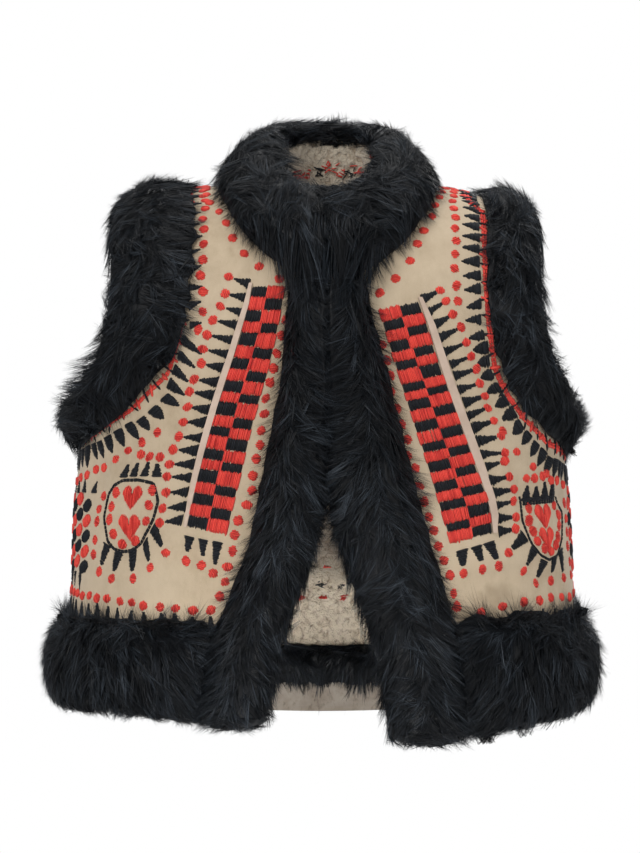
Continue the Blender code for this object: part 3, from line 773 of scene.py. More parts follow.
def array_mesh(name: str, points: Array, faces: Array, materials: Sequence[Material]) -> Piece:
    """Joins many copies of one small shape into a piece.

    Args:
        name: the piece's name.
        points: the points, a row each.
        faces: the corners of each triangle or four-sided face, a row each.
        materials: its material slots.

    Returns:
        The object, linked to the scene.
    """
    data = bpy.data.meshes.new(name)
    sides = faces.shape[1]
    data.vertices.add(len(points))
    data.vertices.foreach_set("co", points.astype(np.float32).ravel())
    data.loops.add(faces.size)
    data.loops.foreach_set("vertex_index", faces.astype(np.int32).ravel())
    data.polygons.add(len(faces))
    data.polygons.foreach_set("loop_start", np.arange(0, faces.size, sides, dtype=np.int32))
    data.polygons.foreach_set("loop_total", np.full(len(faces), sides, np.int32))
    data.update(calc_edges=True)
    data.shade_smooth()
    for material in materials:
        data.materials.append(material)
    return placed(name, data)


# The cloth


@dataclass
class Panel:
    """A suede panel: the solid's own cut, with the cloth's creases."""

    node: str
    cut: tuple[float, float]
    area: float
    cuts: int = 3
    skin: float = -0.0008
    outer: float = -0.0014
    thick: float = 0.0020

    def build(self, finish: Material) -> Piece:
        """Makes the panel and takes the solid's place.

        Args:
            finish: its material.

        Returns:
            The piece.
        """
        mesh = solid_mesh(self.node)
        _, lift = FORM.nearest(spots_of(mesh))
        refine(mesh, lift > self.skin, self.cuts)
        points = spots_of(mesh)
        places, lift = FORM.nearest(points)
        lift = np.where(lift > self.outer, 0.0, -self.thick) + DRAPE.height(places)
        move_to(mesh, FORM.on(places, lift))
        piece = named(mesh, f"{self.node}_suede", finish)
        pattern_map(piece.data, places)
        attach(piece, "root")
        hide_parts(self.node)
        LOG.info("%s: %d faces", piece.name, len(piece.data.polygons))
        return piece


@dataclass(frozen=True)
class Curls:
    """The pile's curls: small bent tufts with gaps between them, where the pile's colour puts painted shade.
    """

    size: float = 0.0062
    bend: float = 0.55
    rise: float = 0.0034

    def at(self, point: Vector) -> float:
        """How high the pile stands at a point, from 0 in a gap to 1 on a curl.

        Args:
            point: a point in space.

        Returns:
            The height, from 0 to 1.
        """
        spot = point / self.size
        spot += noise.noise_vector(spot * 0.9) * self.bend
        spot.z *= 0.72
        near = noise.voronoi(spot)[0]
        gap = min((near[1] - near[0]) / 0.42, 1.0)
        curl = 0.5 + 0.5 * math.sin(6.0 * near[0] + 5.0 * noise.noise(spot * 0.8))
        return min(1.0, math.sqrt(gap) * (0.72 + 0.28 * curl))


@dataclass
class Lining:
    """A pile lining: the solid's own cut, its inner face broken into curls."""

    node: str
    cut: tuple[float, float]
    area: float
    cuts: int
    curls: Curls = field(default_factory=Curls)
    inner: float = -0.0060
    face: float = -0.0068
    back: float = -0.0023
    covered: float = -0.3950
    fade: float = 0.010

    def build(self, finish: Material) -> Piece:
        """Makes the lining and takes the solid's place.

        Below the height covered the pile lies flat, under the strip and the facing.

        Args:
            finish: its material.

        Returns:
            The piece.
        """
        mesh = solid_mesh(self.node)
        _, lift = FORM.nearest(spots_of(mesh))
        refine(mesh, lift < self.inner, self.cuts)
        points = spots_of(mesh)
        places, lift = FORM.nearest(points)
        inner = lift < self.inner
        high = np.array([self.curls.at(Vector(point)) for point in points])
        free = np.clip((points[:, 2] - self.covered) / self.fade, 0.0, 1.0)
        level = np.where(inner, self.face - self.curls.rise * (high - 0.25) * free, self.back)
        level = level + DRAPE.height(places) * free
        move_to(mesh, FORM.on(places, level))
        piece = named(mesh, f"{self.node}_pile", finish)
        point_values(piece.data, "curl", np.where(inner, high, 0.3))
        pattern_map(piece.data, places)
        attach(piece, "root")
        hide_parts(self.node)
        LOG.info("%s: %d faces", piece.name, len(piece.data.polygons))
        return piece


@dataclass
class CollarLining:
    """The pile on the inside of the stand collar."""

    node: str = "collar_lining"
    curls: Curls = field(default_factory=Curls)
    cuts: int = 5

    def build(self, finish: Material) -> Piece:
        """Makes the collar's lining and takes the solid's place.

        Args:
            finish: its material.

        Returns:
            The piece.
        """
        mesh = solid_mesh(self.node)
        bmesh.ops.subdivide_edges(mesh, edges=mesh.edges[:], cuts=self.cuts, use_grid_fill=True)
        smoothed(mesh, 0.4)
        mesh.normal_update()
        high = [self.curls.at(vert.co) for vert in mesh.verts]
        for vert, level in zip(mesh.verts, high):
            vert.co += vert.normal * self.curls.rise * (level - 0.45)
        piece = named(mesh, "collar_pile", finish)
        point_values(piece.data, "curl", np.array(high))
        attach(piece, "root")
        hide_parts(self.node)
        LOG.info("%s: %d faces", piece.name, len(piece.data.polygons))
        return piece


# The embroidery


Place = tuple[float, float]


class Yarn(Enum):
    """The two colours of yarn."""

    RED = "red"
    BLACK = "black"


@dataclass(frozen=True)
class Guide:
    """A line drawn on the flat pattern through a few places, for the stitcher to follow."""

    places: tuple[Place, ...]

    def behind(self) -> "Guide":
        """The same line carried over the shoulder to the back."""
        return Guide(tuple((around, 2 * FORM.ridge - rise) for around, rise in self.places))

    def across(self) -> "Guide":
        """The same line on the other side of the body."""
        return Guide(tuple((-around, rise) for around, rise in self.places))

    def at(self, shares: Array) -> Array:
        """The places at shares of the line's length.

        Args:
            shares: shares of the line's length, from 0 to 1.

        Returns:
            The places, a row each.
        """
        corners = np.array(self.places)
        run = np.concatenate([[0.0], np.cumsum(np.linalg.norm(np.diff(corners, axis=0), axis=1))])
        return np.stack([np.interp(shares * run[-1], run, corners[:, k]) for k in range(2)], axis=1)

    def spread(self, count: int) -> Array:
        """Evenly spaced places from the line's start to its end."""
        return self.at(np.linspace(0.0, 1.0, count))

    def headings(self, count: int) -> Array:
        """The line's direction along the cloth at those places, with length 1.

        Args:
            count: how many evenly spaced places.

        Returns:
            The directions, a row each.
        """
        shares = np.linspace(0.0, 1.0, count)
        run = self.at(np.minimum(shares + 0.02, 1.0)) - self.at(np.maximum(shares - 0.02, 0.0))
        return unit(run * scale_at(self.at(shares)))


def scale_at(places: Array) -> Array:
    """How long a step along each way of the pattern is on the cloth."""
    along, up = FORM.slopes(places)
    return np.stack([np.linalg.norm(along, axis=1), np.linalg.norm(up, axis=1)], axis=1)


STRAND_SHARES = np.array([0.0, 0.2, 0.8, 1.0])
STRAND_ARCH = np.array([0.0, 0.9, 0.9, 0.0])
STRAND_TAPER = np.array([0.55, 1.0, 1.0, 0.55])


@dataclass
class Needle:
    """Lays threads side by side on the cloth and makes them into one piece for each yarn."""

    name: str
    seed: int
    inside: bool = False
    pitch: float = 0.00118
    thick: float = 0.0016
    ragged: float = 0.00032
    uneven: float = 0.035
    pile_level: float = -0.0082
    threads: dict[Yarn, list[Array]] = field(default_factory=lambda: {yarn: [] for yarn in Yarn})

    def __post_init__(self) -> None:
        """Starts the source of chance."""
        self.rng = np.random.default_rng(self.seed)

    def lay(self, yarn: Yarn, starts: Array, ends: Array, wide: float) -> None:
        """Lays threads from starts to ends, with a hand's unevenness.

        Args:
            yarn: which yarn.
            starts: where the threads come up, in metres of pattern, a row each.
            ends: where they go down.
            wide: a thread's width.
        """
        count = len(starts)
        run = unit(ends - starts)
        pull = np.abs(self.rng.normal(0, self.ragged, (2, count, 1)))
        rows = np.empty((count, 6))
        rows[:, :2] = starts - run * pull[0]
        rows[:, 2:4] = ends + run * pull[1]
        rows[:, 4] = wide * self.rng.uniform(0.85, 1.15, count)
        rows[:, 5] = self.rng.random(count)
        self.threads[yarn].append(rows)

    def satin(self, yarn: Yarn, left: Array, right: Array, bulge: float = 0.0) -> None:
        """Fills the strip between two edges with threads from the left one to the right one.

        Args:
            yarn: which yarn.
            left: the left edge's first and last place.
            right: the right edge's first and last place.
            bulge: how far each edge bows out at its middle.
        """
        ends = FORM.points(np.concatenate([left, right]))
        reach = float(max(np.linalg.norm(ends[1] - ends[0]), np.linalg.norm(ends[3] - ends[2])))
        count = max(3, round(reach / self.pitch))
        share = (np.arange(count) + 0.5) / count
        share = (share + self.rng.normal(0, 0.12, count) / count)[:, None]
        starts = left[0] + share * (left[1] - left[0])
        stops = right[0] + share * (right[1] - right[0])
        out = unit((right[:1] + right[1:] - left[:1] - left[1:]) + 1e-9) * np.sin(np.pi * share)
        pull = (stops - starts) * self.rng.normal(0, self.uneven, (2, count, 1))
        self.lay(yarn, starts - out * bulge - pull[0], stops + out * bulge + pull[1], 1.4 * reach / count)

    def blob(self, yarn: Yarn, centre: Array, heading: Array, long: float, wide: float) -> None:
        """Fills an oval with threads across its heading.

        Args:
            yarn: which yarn.
            centre: the middle of the oval.
            heading: the direction of its length.
            long: its length.
            wide: its width.
        """
        count = max(4, round(long / self.pitch))
        share = np.linspace(-0.93, 0.93, count)[:, None]
        half = wide / 2 * np.sqrt(1 - share**2) ** 0.8
        side = np.array([-heading[1], heading[0]])
        scale = scale_at(centre[None])
        middle = heading * share * long / 2
        starts, ends = centre + (middle - side * half) / scale, centre + (middle + side * half) / scale
        self.lay(yarn, starts, ends, long / count * 1.35)

    def finish(self, yarn: Yarn, finish: Material) -> None:
        """Makes one yarn's threads into a piece: three-sided closed strands that arch over the cloth.

        Args:
            yarn: which yarn.
            finish: the material of that yarn.
        """
        if not self.threads[yarn]:
            return
        rows = np.concatenate(self.threads[yarn])
        count = len(rows)
        places = rows[:, None, :2] + STRAND_SHARES[None, :, None] * (rows[:, None, 2:4] - rows[:, None, :2])
        flat = places.reshape(-1, 2)
        ground = (DRAPE.height(flat) + (self.pile_level if self.inside else 0.0)).reshape(count, 4)
        centre = FORM.on(flat, ground.ravel()).reshape(count, 4, 3)
        out = FORM.normals(flat).reshape(count, 4, 3) * (-1.0 if self.inside else 1.0)
        strands(f"{self.name}_{yarn.value}", centre, out, rows[:, 4], rows[:, 5], self.thick, finish)


def strands(
    name: str, centre: Array, out: Array, wide: Array, tone: Array, thick: float, finish: Material
) -> None:
    """Makes threads into one piece: three-sided closed strands that arch over the ground.

    Args:
        name: the piece's name.
        centre: four points on the ground for each thread.
        out: the outward direction at each point.
        wide: each thread's width.
        tone: each thread's place between the dark and the light of its yarn.
        thick: how high a long thread arches.
        finish: the yarn.
    """
    count = len(centre)
    run = centre[:, -1] - centre[:, 0]
    length = np.linalg.norm(run, axis=1)
    side = unit(np.cross(out[:, 1], run))[:, None] * (wide / 2)[:, None, None]
    tall = np.minimum(thick, 0.17 * length + 0.0003)[:, None] * STRAND_ARCH * (0.8 + 0.4 * tone[:, None])
    narrow = STRAND_TAPER[None, :, None]
    lip = out * (0.35 * tall - 0.00025)[:, :, None]
    crest = centre + out * tall[:, :, None]
    points = np.stack([centre + side * narrow + lip, crest, centre - side * narrow + lip], axis=2)
    faces = []
    for ring in range(3):
        for corner in range(3):
            a, b = 3 * ring + corner, 3 * ring + (corner + 1) % 3
            faces += [(a, b, b + 3), (a, b + 3, a + 3)]
    faces += [(2, 1, 0), (9, 10, 11)]
    corners = (np.arange(count)[:, None, None] * 12 + np.array(faces)[None]).reshape(-1, 3)
    piece = array_mesh(name, points.reshape(-1, 3), corners, [finish])
    point_values(piece.data, "tone", np.repeat(tone, 12))
    along = (STRAND_SHARES[None, :] * length[:, None])[:, :, None] * np.ones(3) + tone[:, None, None] * 0.5
    across = np.array([-0.5, 0.0, 0.5]) * wide[:, None, None] * np.ones((1, 4, 1))
    pattern_map(piece.data, np.stack([along, across], axis=-1).reshape(-1, 2))
    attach(piece, "root")
    LOG.info("%s: %d threads", piece.name, count)


@dataclass(frozen=True)
class NeckEnds:
    """Stitch ends that show in the pile behind the neck: small bunches of loose strands in a row."""

    node: str = "collar_lining"
    start: float = -0.0205
    stop: float = 0.0400
    level: float = 0.0125
    slope: float = 0.10
    bunches: int = 8
    strands: int = 9
    length: float = 0.0062
    wide: float = 0.0010
    spread: float = 0.0022
    seed: int = 51
    ray_start: float = -0.030
    above: float = 0.0016
    thick: float = 0.0012

    def build(self, finishes: dict[Yarn, Material]) -> None:
        """Lays the strands of each bunch on the pile, two red bunches to a black one.

        Args:
            finishes: the material of each yarn.
        """
        rng = np.random.default_rng(self.seed)
        ground = tree_of([self.node])
        along = np.linspace(self.start, self.stop, self.bunches)
        level = self.level + self.slope * along + rng.normal(0, 0.0030, self.bunches)
        black = np.arange(self.bunches) % 3 == 2
        for yarn, chosen in ((Yarn.RED, ~black), (Yarn.BLACK, black)):
            spots = np.repeat(np.stack([along, level], axis=1)[chosen], self.strands, axis=0)
            spots += rng.normal(0, self.spread, spots.shape)
            angle = rng.uniform(0, math.pi, len(spots))
            half = np.stack([np.cos(angle), 0.7 * np.sin(angle)], axis=1) * self.length / 2
            half *= rng.uniform(0.4, 1.1, (len(spots), 1))
            flat = spots[:, None] + half[:, None] * (2 * STRAND_SHARES - 1)[None, :, None]
            centre, out = np.empty((len(spots), 4, 3)), np.empty((len(spots), 4, 3))
            for place in np.ndindex(len(spots), 4):
                x, z = flat[place]
                found, normal, _, _ = ground.ray_cast((x, self.ray_start, z), (0.0, 1.0, 0.0))
                centre[place] = found + normal * self.above
                out[place] = normal
            wide, tone = np.full(len(spots), self.wide), rng.random(len(spots))
            strands(f"neck_ends_{yarn.value}", centre, out, wide, tone, self.thick, finishes[yarn])


@dataclass(frozen=True)
class Teeth:
    """A row of satin teeth or leaves that stand on one line and point to another."""

    count: int
    base: Guide
    tips: Guide
    wide: float = 0.0080
    blunt: float = 0.12
    bulge: float = 0.0
    dot: float = 0.0
    yarn: Yarn = Yarn.BLACK

    def sew(self, needle: Needle) -> None:
        """Sews each tooth, and where dot is set a dot that far past its tip.

        Args:
            needle: what lays the threads.
        """
        bases, tips = self.base.spread(self.count), self.tips.spread(self.count)
        scale = scale_at(bases)
        along = self.base.headings(self.count) / scale
        for base, tip, step, size in zip(bases, tips, along, scale):
            tip = tip + needle.rng.normal(0, 0.0009, 2)
            base = base + needle.rng.normal(0, 0.0003, 2)
            half = step * self.wide / 2 * needle.rng.uniform(0.84, 1.14)
            left = np.stack([base - half, tip - half * self.blunt])
            right = np.stack([base + half, tip + half * self.blunt])
            needle.satin(self.yarn, left, right, self.bulge * needle.rng.uniform(0.8, 1.2))
            if self.dot:
                heading = unit(((tip - base) * size)[None])[0]
                spot = tip + heading * (self.dot + needle.rng.normal(0, 0.0005)) / size
                Dots.one(needle, spot, heading)


@dataclass(frozen=True)
class Dots:
    """A row of red dots on a line."""

    count: int
    line: Guide
    stray: float = 0.0008
    fullness: float = 1.0

    def sew(self, needle: Needle) -> None:
        """Sews the row.

        Args:
            needle: what lays the threads.
        """
        for spot, heading in zip(self.line.spread(self.count), self.line.headings(self.count)):
            spot = spot + needle.rng.normal(0, self.stray, 2)
            Dots.one(needle, spot, heading, self.fullness)

    @staticmethod
    def one(needle: Needle, spot: Array, heading: Array, fullness: float = 1.0) -> None:
        """Sews one dot: a small full oval, turned a little by chance.

        Args:
            needle: what lays the threads.
            spot: the middle of the dot.
            heading: the direction of its length.
            fullness: its size against the usual one.
        """
        turn = needle.rng.normal(0, 0.5)
        heading = np.array(
            [
                heading[0] * math.cos(turn) - heading[1] * math.sin(turn),
                heading[0] * math.sin(turn) + heading[1] * math.cos(turn),
            ]
        )
        long, wide = needle.rng.uniform(0.0062, 0.0076), needle.rng.uniform(0.0062, 0.0080)
        needle.blob(Yarn.RED, spot, heading, long * fullness, wide * fullness)


@dataclass(frozen=True)
class Checker:
    """Rows of satin blocks in the two yarns by turns, in two columns between two lines."""

    left: Guide
    right: Guide
    rows: int
    first: Yarn

    def sew(self, needle: Needle) -> None:
        """Sews the blocks, each with its threads down the panel.

        Args:
            needle: what lays the threads.
        """
        edges = np.linspace(0.0, 1.0, self.rows + 1)
        edges[1:-1] += needle.rng.normal(0, 0.09, self.rows - 1) / self.rows
        left, right = self.left.at(edges), self.right.at(edges)
        for row in range(self.rows):
            middle = 0.5 + needle.rng.normal(0, 0.015)
            for column, (near, far) in enumerate(((0.0, middle), (middle, 1.0))):
                yarn = self.yarn_of(row + column)
                over = 0.09 if yarn is Yarn.RED else -0.01
                spread = np.array([[near - over * 0.25], [far + over * 0.25]])
                upper = left[row] + spread * (right[row] - left[row])
                lower = left[row + 1] + spread * (right[row + 1] - left[row + 1])
                needle.satin(yarn, upper + (upper - lower) * over, lower + (lower - upper) * over)

    def yarn_of(self, step: int) -> Yarn:
        """The yarn of a block, counted along and down from the first."""
        others = [yarn for yarn in Yarn if yarn is not self.first]
        return self.first if step % 2 == 0 else others[0]


@dataclass(frozen=True)
class Outline:
    """A thick line of overlapping stitches."""

    line: Guide
    yarn: Yarn = Yarn.BLACK
    wide: float = 0.0024
    stitch: float = 0.0042

    def sew(self, needle: Needle) -> None:
        """Sews two rows of stitches side by side along the line.

        Args:
            needle: what lays the threads.
        """
        corners = FORM.points(self.line.spread(60))
        length = float(np.linalg.norm(np.diff(corners, axis=0), axis=1).sum())
        count = max(4, round(length / self.stitch * 1.3))
        steps = self.line.spread(count + 1)
        heading = self.line.headings(count + 1)
        aside = np.stack([-heading[:, 1], heading[:, 0]], axis=1) / scale_at(steps) * self.wide / 4
        for side in (-1, 1):
            away = aside * side
            needle.lay(self.yarn, steps[:-1] + away[:-1], steps[1:] + away[1:], self.wide * 0.62)


@dataclass(frozen=True)
class Rungs:
    """Single stitches across a line."""

    count: int
    line: Guide
    reach: float
    yarn: Yarn
    lean: float = 0.0
    wide: float = 0.0013
    strands: int = 1

    def sew(self, needle: Needle) -> None:
        """Sews the stitches, each at its own slant and with its strands crossing."""
        for _ in range(self.strands):
            self.sew_once(needle)

    def sew_once(self, needle: Needle) -> None:
        """Sews one strand of each stitch.

        Args:
            needle: what lays the threads.
        """
        spots, heading = self.line.spread(self.count), self.line.headings(self.count)
        spots = spots + needle.rng.normal(0, 0.0006, spots.shape)
        aside = np.stack([-heading[:, 1], heading[:, 0]], axis=1)
        slant = heading * (self.lean + needle.rng.normal(0, 0.25, (self.count, 1)))
        reach = self.reach / 2 * needle.rng.uniform(0.75, 1.2, (self.count, 1))
        half = (aside + slant) * reach / scale_at(spots)
        needle.lay(self.yarn, spots - half, spots + half, self.wide)


@dataclass(frozen=True)
class Ends:
    """Bunches of loose stitch ends in a row."""

    count: int
    line: Guide
    yarn: Yarn
    reach: float = 0.0052
    strands: int = 7
    wide: float = 0.0010

    def sew(self, needle: Needle) -> None:
        """Lays the strands of each bunch in every direction.

        Args:
            needle: what lays the threads.
        """
        spots = np.repeat(self.line.spread(self.count), self.strands, axis=0)
        spots = spots + needle.rng.normal(0, 0.0011, spots.shape)
        angle = needle.rng.uniform(0, math.pi, len(spots))
        half = np.stack([np.cos(angle), 0.65 * np.sin(angle)], axis=1) * self.reach / 2
        half *= needle.rng.uniform(0.5, 1.1, (len(spots), 1))
        needle.lay(self.yarn, spots - half, spots + half, self.wide)


@dataclass(frozen=True)
class Heart:
    """A satin heart, its threads upright."""

    centre: Place
    wide: float
    high: float
    lean: float = 0.0

    def sew(self, needle: Needle) -> None:
        """Sews the heart.

        Args:
            needle: what lays the threads.
        """
        count = round(self.wide / needle.pitch)
        share = np.linspace(-0.95, 0.95, count)
        lobe = np.sqrt(np.clip(1 - (2 * np.abs(share) - 1) ** 2, 0, None))
        top = self.high * (0.14 + 0.36 * lobe)
        low = self.high * (-0.5 + 0.62 * np.abs(share) ** 1.25)
        across = share * self.wide / 2
        scale = scale_at(np.array([self.centre]))
        upper = np.stack([across + self.lean * top, top], axis=1) / scale + self.centre
        lower = np.stack([across + self.lean * low, low], axis=1) / scale + self.centre
        needle.lay(Yarn.RED, lower, upper, self.wide / count * 1.35)


@dataclass(frozen=True)
class Leaves:
    """Columns of leaf shapes, in the two yarns by turns."""

    columns: tuple[Guide, ...]
    count: int

    def sew(self, needle: Needle) -> None:
        """Sews the leaves.

        Args:
            needle: what lays the threads.
        """
        for number, column in enumerate(self.columns):
            for row, spot in enumerate(column.spread(self.count)):
                yarn = (Yarn.RED, Yarn.BLACK)[(row + number) % 2]
                heading = np.array([math.cos(0.35), math.sin(0.35)])
                needle.blob(yarn, spot, heading, 0.0135, 0.0100)


Motif = Teeth | Dots | Checker | Outline | Rungs | Ends | Heart | Leaves


@dataclass
class Embroidery:
    """All that is sewn on one panel."""

    name: str
    seed: int
    motifs: tuple[Motif, ...]
    inside: bool = False

    def build(self, finishes: dict[Yarn, Material]) -> None:
        """Sews the motifs in order and makes the pieces.

        Args:
            finishes: the material of each yarn.
        """
        needle = Needle(self.name, self.seed, self.inside)
        for motif in self.motifs:
            motif.sew(needle)
        for yarn, finish in finishes.items():
            needle.finish(yarn, finish)


def line(*places: Place) -> Guide:
    """A guide line through places."""
    return Guide(places)


ARMHOLE_RIGHT = line(
    (-0.0876, 0.2030), (-0.0896, 0.0844), (-0.0933, 0.0191), (-0.1026, -0.0139), (-0.1305, -0.0416),
    (-0.170, -0.0600), (-0.2356, -0.0690),
)
ARMHOLE_LEFT = line(
    (0.0983, 0.2030), (0.0983, 0.1587), (0.1101, 0.1329), (0.1112, 0.0613), (0.1135, 0.0233),
    (0.1189, -0.0099), (0.1279, -0.0315), (0.1396, -0.0486), (0.1666, -0.0673), (0.2356, -0.0800),
)

FRONT_RIGHT = Embroidery("stitches_front_right", 31, (
    Checker(
        line(
            (-0.0440, 0.0510), (-0.0502, 0.0200), (-0.0592, -0.0117), (-0.0652, -0.0383), (-0.0706, -0.0742),
            (-0.0796, -0.1307),
        ),
        line(
            (-0.0238, 0.0500), (-0.0292, 0.0151), (-0.0365, -0.0196), (-0.0419, -0.0486), (-0.0475, -0.0888),
            (-0.0557, -0.1358),
        ),
        21, Yarn.BLACK,
    ),
    Teeth(
        18,
        line(
            (-0.0460, 0.0525), (-0.0545, 0.0200), (-0.0650, -0.0188), (-0.0717, -0.0525), (-0.0769, -0.0908),
            (-0.0826, -0.1254),
        ),
        line(
            (-0.0560, 0.0565), (-0.0630, 0.0330), (-0.0706, 0.0146), (-0.0756, -0.0057), (-0.0824, -0.0442),
            (-0.0865, -0.0662), (-0.0928, -0.1143), (-0.0930, -0.1265),
        ),
        0.0094, blunt=0.14, dot=0.0044,
    ),
    Teeth(
        3,
        line((-0.0780, -0.1375), (-0.0600, -0.1425)),
        line((-0.0800, -0.1490), (-0.0612, -0.1585)),
        0.0086, blunt=0.3, dot=0.0070,
    ),
    Dots(19, line(
        (-0.0239, 0.0251), (-0.0352, -0.0372), (-0.0409, -0.1006), (-0.0491, -0.1354), (-0.0589, -0.1839),
    )),
    Dots(11, line(
        (-0.083, 0.200), (-0.0800, 0.1590), (-0.0671, 0.1242), (-0.0578, 0.0933), (-0.0451, 0.0697),
        (-0.0271, 0.0590),
    )),
    Dots(
        14,
        line((-0.0780, 0.1980), (-0.0773, 0.1430), (-0.0770, 0.0762), (-0.0785, 0.0400), (-0.0800, 0.0200)),
    ),
    Teeth(
        13,
        line((-0.0894, 0.1980), (-0.0894, 0.1375), (-0.0873, 0.0775), (-0.0867, 0.0226)),
        line((-0.0801, 0.1985), (-0.0801, 0.1395), (-0.0788, 0.0765), (-0.0782, 0.0245)),
        0.0074,
    ),
    Teeth(
        4,
        line((-0.0918, 0.0120), (-0.1010, -0.0200)),
        line((-0.0800, 0.0020), (-0.0880, -0.0290)),
        0.0090, bulge=0.0006,
    ),
    Teeth(
        13,
        line(
            (-0.1035, -0.0310), (-0.1200, -0.0478), (-0.1557, -0.0634), (-0.1904, -0.0706),
            (-0.2300, -0.0760),
        ),
        line(
            (-0.0935, -0.0380), (-0.1110, -0.0571), (-0.1304, -0.0695), (-0.1489, -0.0775),
            (-0.1764, -0.0854), (-0.2260, -0.0900),
        ),
        0.0088, bulge=0.0016,
    ),
    Dots(11, line(
        (-0.1031, -0.0581), (-0.1218, -0.0696), (-0.1468, -0.0833), (-0.1841, -0.0934), (-0.2320, -0.0980),
    )),
    Outline(ARMHOLE_RIGHT, Yarn.RED, 0.0036),
    Rungs(26, ARMHOLE_RIGHT, 0.0085, Yarn.RED, 0.3, 0.0022),
    Rungs(30, ARMHOLE_RIGHT, 0.0125, Yarn.BLACK, -0.15, 0.0018),
    Outline(
        line(
            (-0.1286, -0.0958), (-0.1150, -0.0952), (-0.1031, -0.0979), (-0.0996, -0.1110),
            (-0.1027, -0.1256), (-0.1117, -0.1450), (-0.1180, -0.1495), (-0.1255, -0.1511),
            (-0.1340, -0.1490), (-0.1405, -0.1434), (-0.1463, -0.1248), (-0.1431, -0.1069),
            (-0.1370, -0.0995), (-0.1286, -0.0958),
        )
    ),
    Heart((-0.1200, -0.1090), 0.0180, 0.0190, 0.12),
    Heart((-0.1212, -0.1320), 0.0200, 0.0205, -0.10),
    Dots(6, line(
        (-0.1340, -0.1050), (-0.1390, -0.1170), (-0.1400, -0.1290), (-0.1350, -0.1400), (-0.1255, -0.1462),
        (-0.1160, -0.1425),
    ), 0.0005, 1.10),
    Dots(3, line((-0.1078, -0.1265), (-0.1045, -0.1040)), 0.0005),
    Teeth(
        4,
        line((-0.1287, -0.0930), (-0.1017, -0.0928)),
        line((-0.1262, -0.0822), (-0.1014, -0.0838)),
        0.0082, blunt=0.3,
    ),
    Teeth(
        5,
        line(
            (-0.1403, -0.1455), (-0.1300, -0.1506), (-0.1194, -0.1504), (-0.1094, -0.1440),
            (-0.1032, -0.1316),
        ),
        line(
            (-0.1461, -0.1606), (-0.1315, -0.1664), (-0.1194, -0.1660), (-0.1045, -0.1567),
            (-0.0962, -0.1450),
        ),
        0.0084, blunt=0.35, bulge=0.0005, dot=0.0058,
    ),
    Dots(3, line((-0.1149, -0.0769), (-0.0999, -0.0776))),
    Dots(5, line((-0.1497, -0.1072), (-0.1561, -0.1303), (-0.1569, -0.1542))),
    Teeth(
        4, line((-0.1640, -0.1060), (-0.2150, -0.1060)), line((-0.1620, -0.0965), (-0.2130, -0.0965)), 0.0074
    ),
    Leaves((line((-0.1900, -0.1110), (-0.1880, -0.1600)), line((-0.1730, -0.1160), (-0.1710, -0.1640))), 5),
    Leaves((line((-0.2230, -0.1110), (-0.2230, -0.1600)), line((-0.2060, -0.1160), (-0.2060, -0.1640))), 5),
    Teeth(
        4, line((-0.1760, -0.1680), (-0.2230, -0.1680)), line((-0.1740, -0.1810), (-0.2210, -0.1810)), 0.0066
    ),
    Dots(17, line(
        (-0.2320, -0.1830), (-0.1883, -0.1840), (-0.1574, -0.1870), (-0.1306, -0.1892), (-0.0994, -0.1924),
        (-0.0643, -0.1942),
    )),
    Teeth(
        17,
        line(
            (-0.2340, -0.2010), (-0.1954, -0.2020), (-0.1293, -0.2096), (-0.0946, -0.2116),
            (-0.0624, -0.2124),
        ),
        line(
            (-0.2320, -0.1880), (-0.1868, -0.1890), (-0.1302, -0.1944), (-0.0992, -0.1977),
            (-0.0642, -0.1992),
        ),
        0.0098, blunt=0.2,
    ),
    Outline(line((-0.1900, -0.2035), (-0.1560, -0.2075)), Yarn.RED),
    Outline(line((-0.1180, -0.2095), (-0.1010, -0.2110)), Yarn.RED),
))

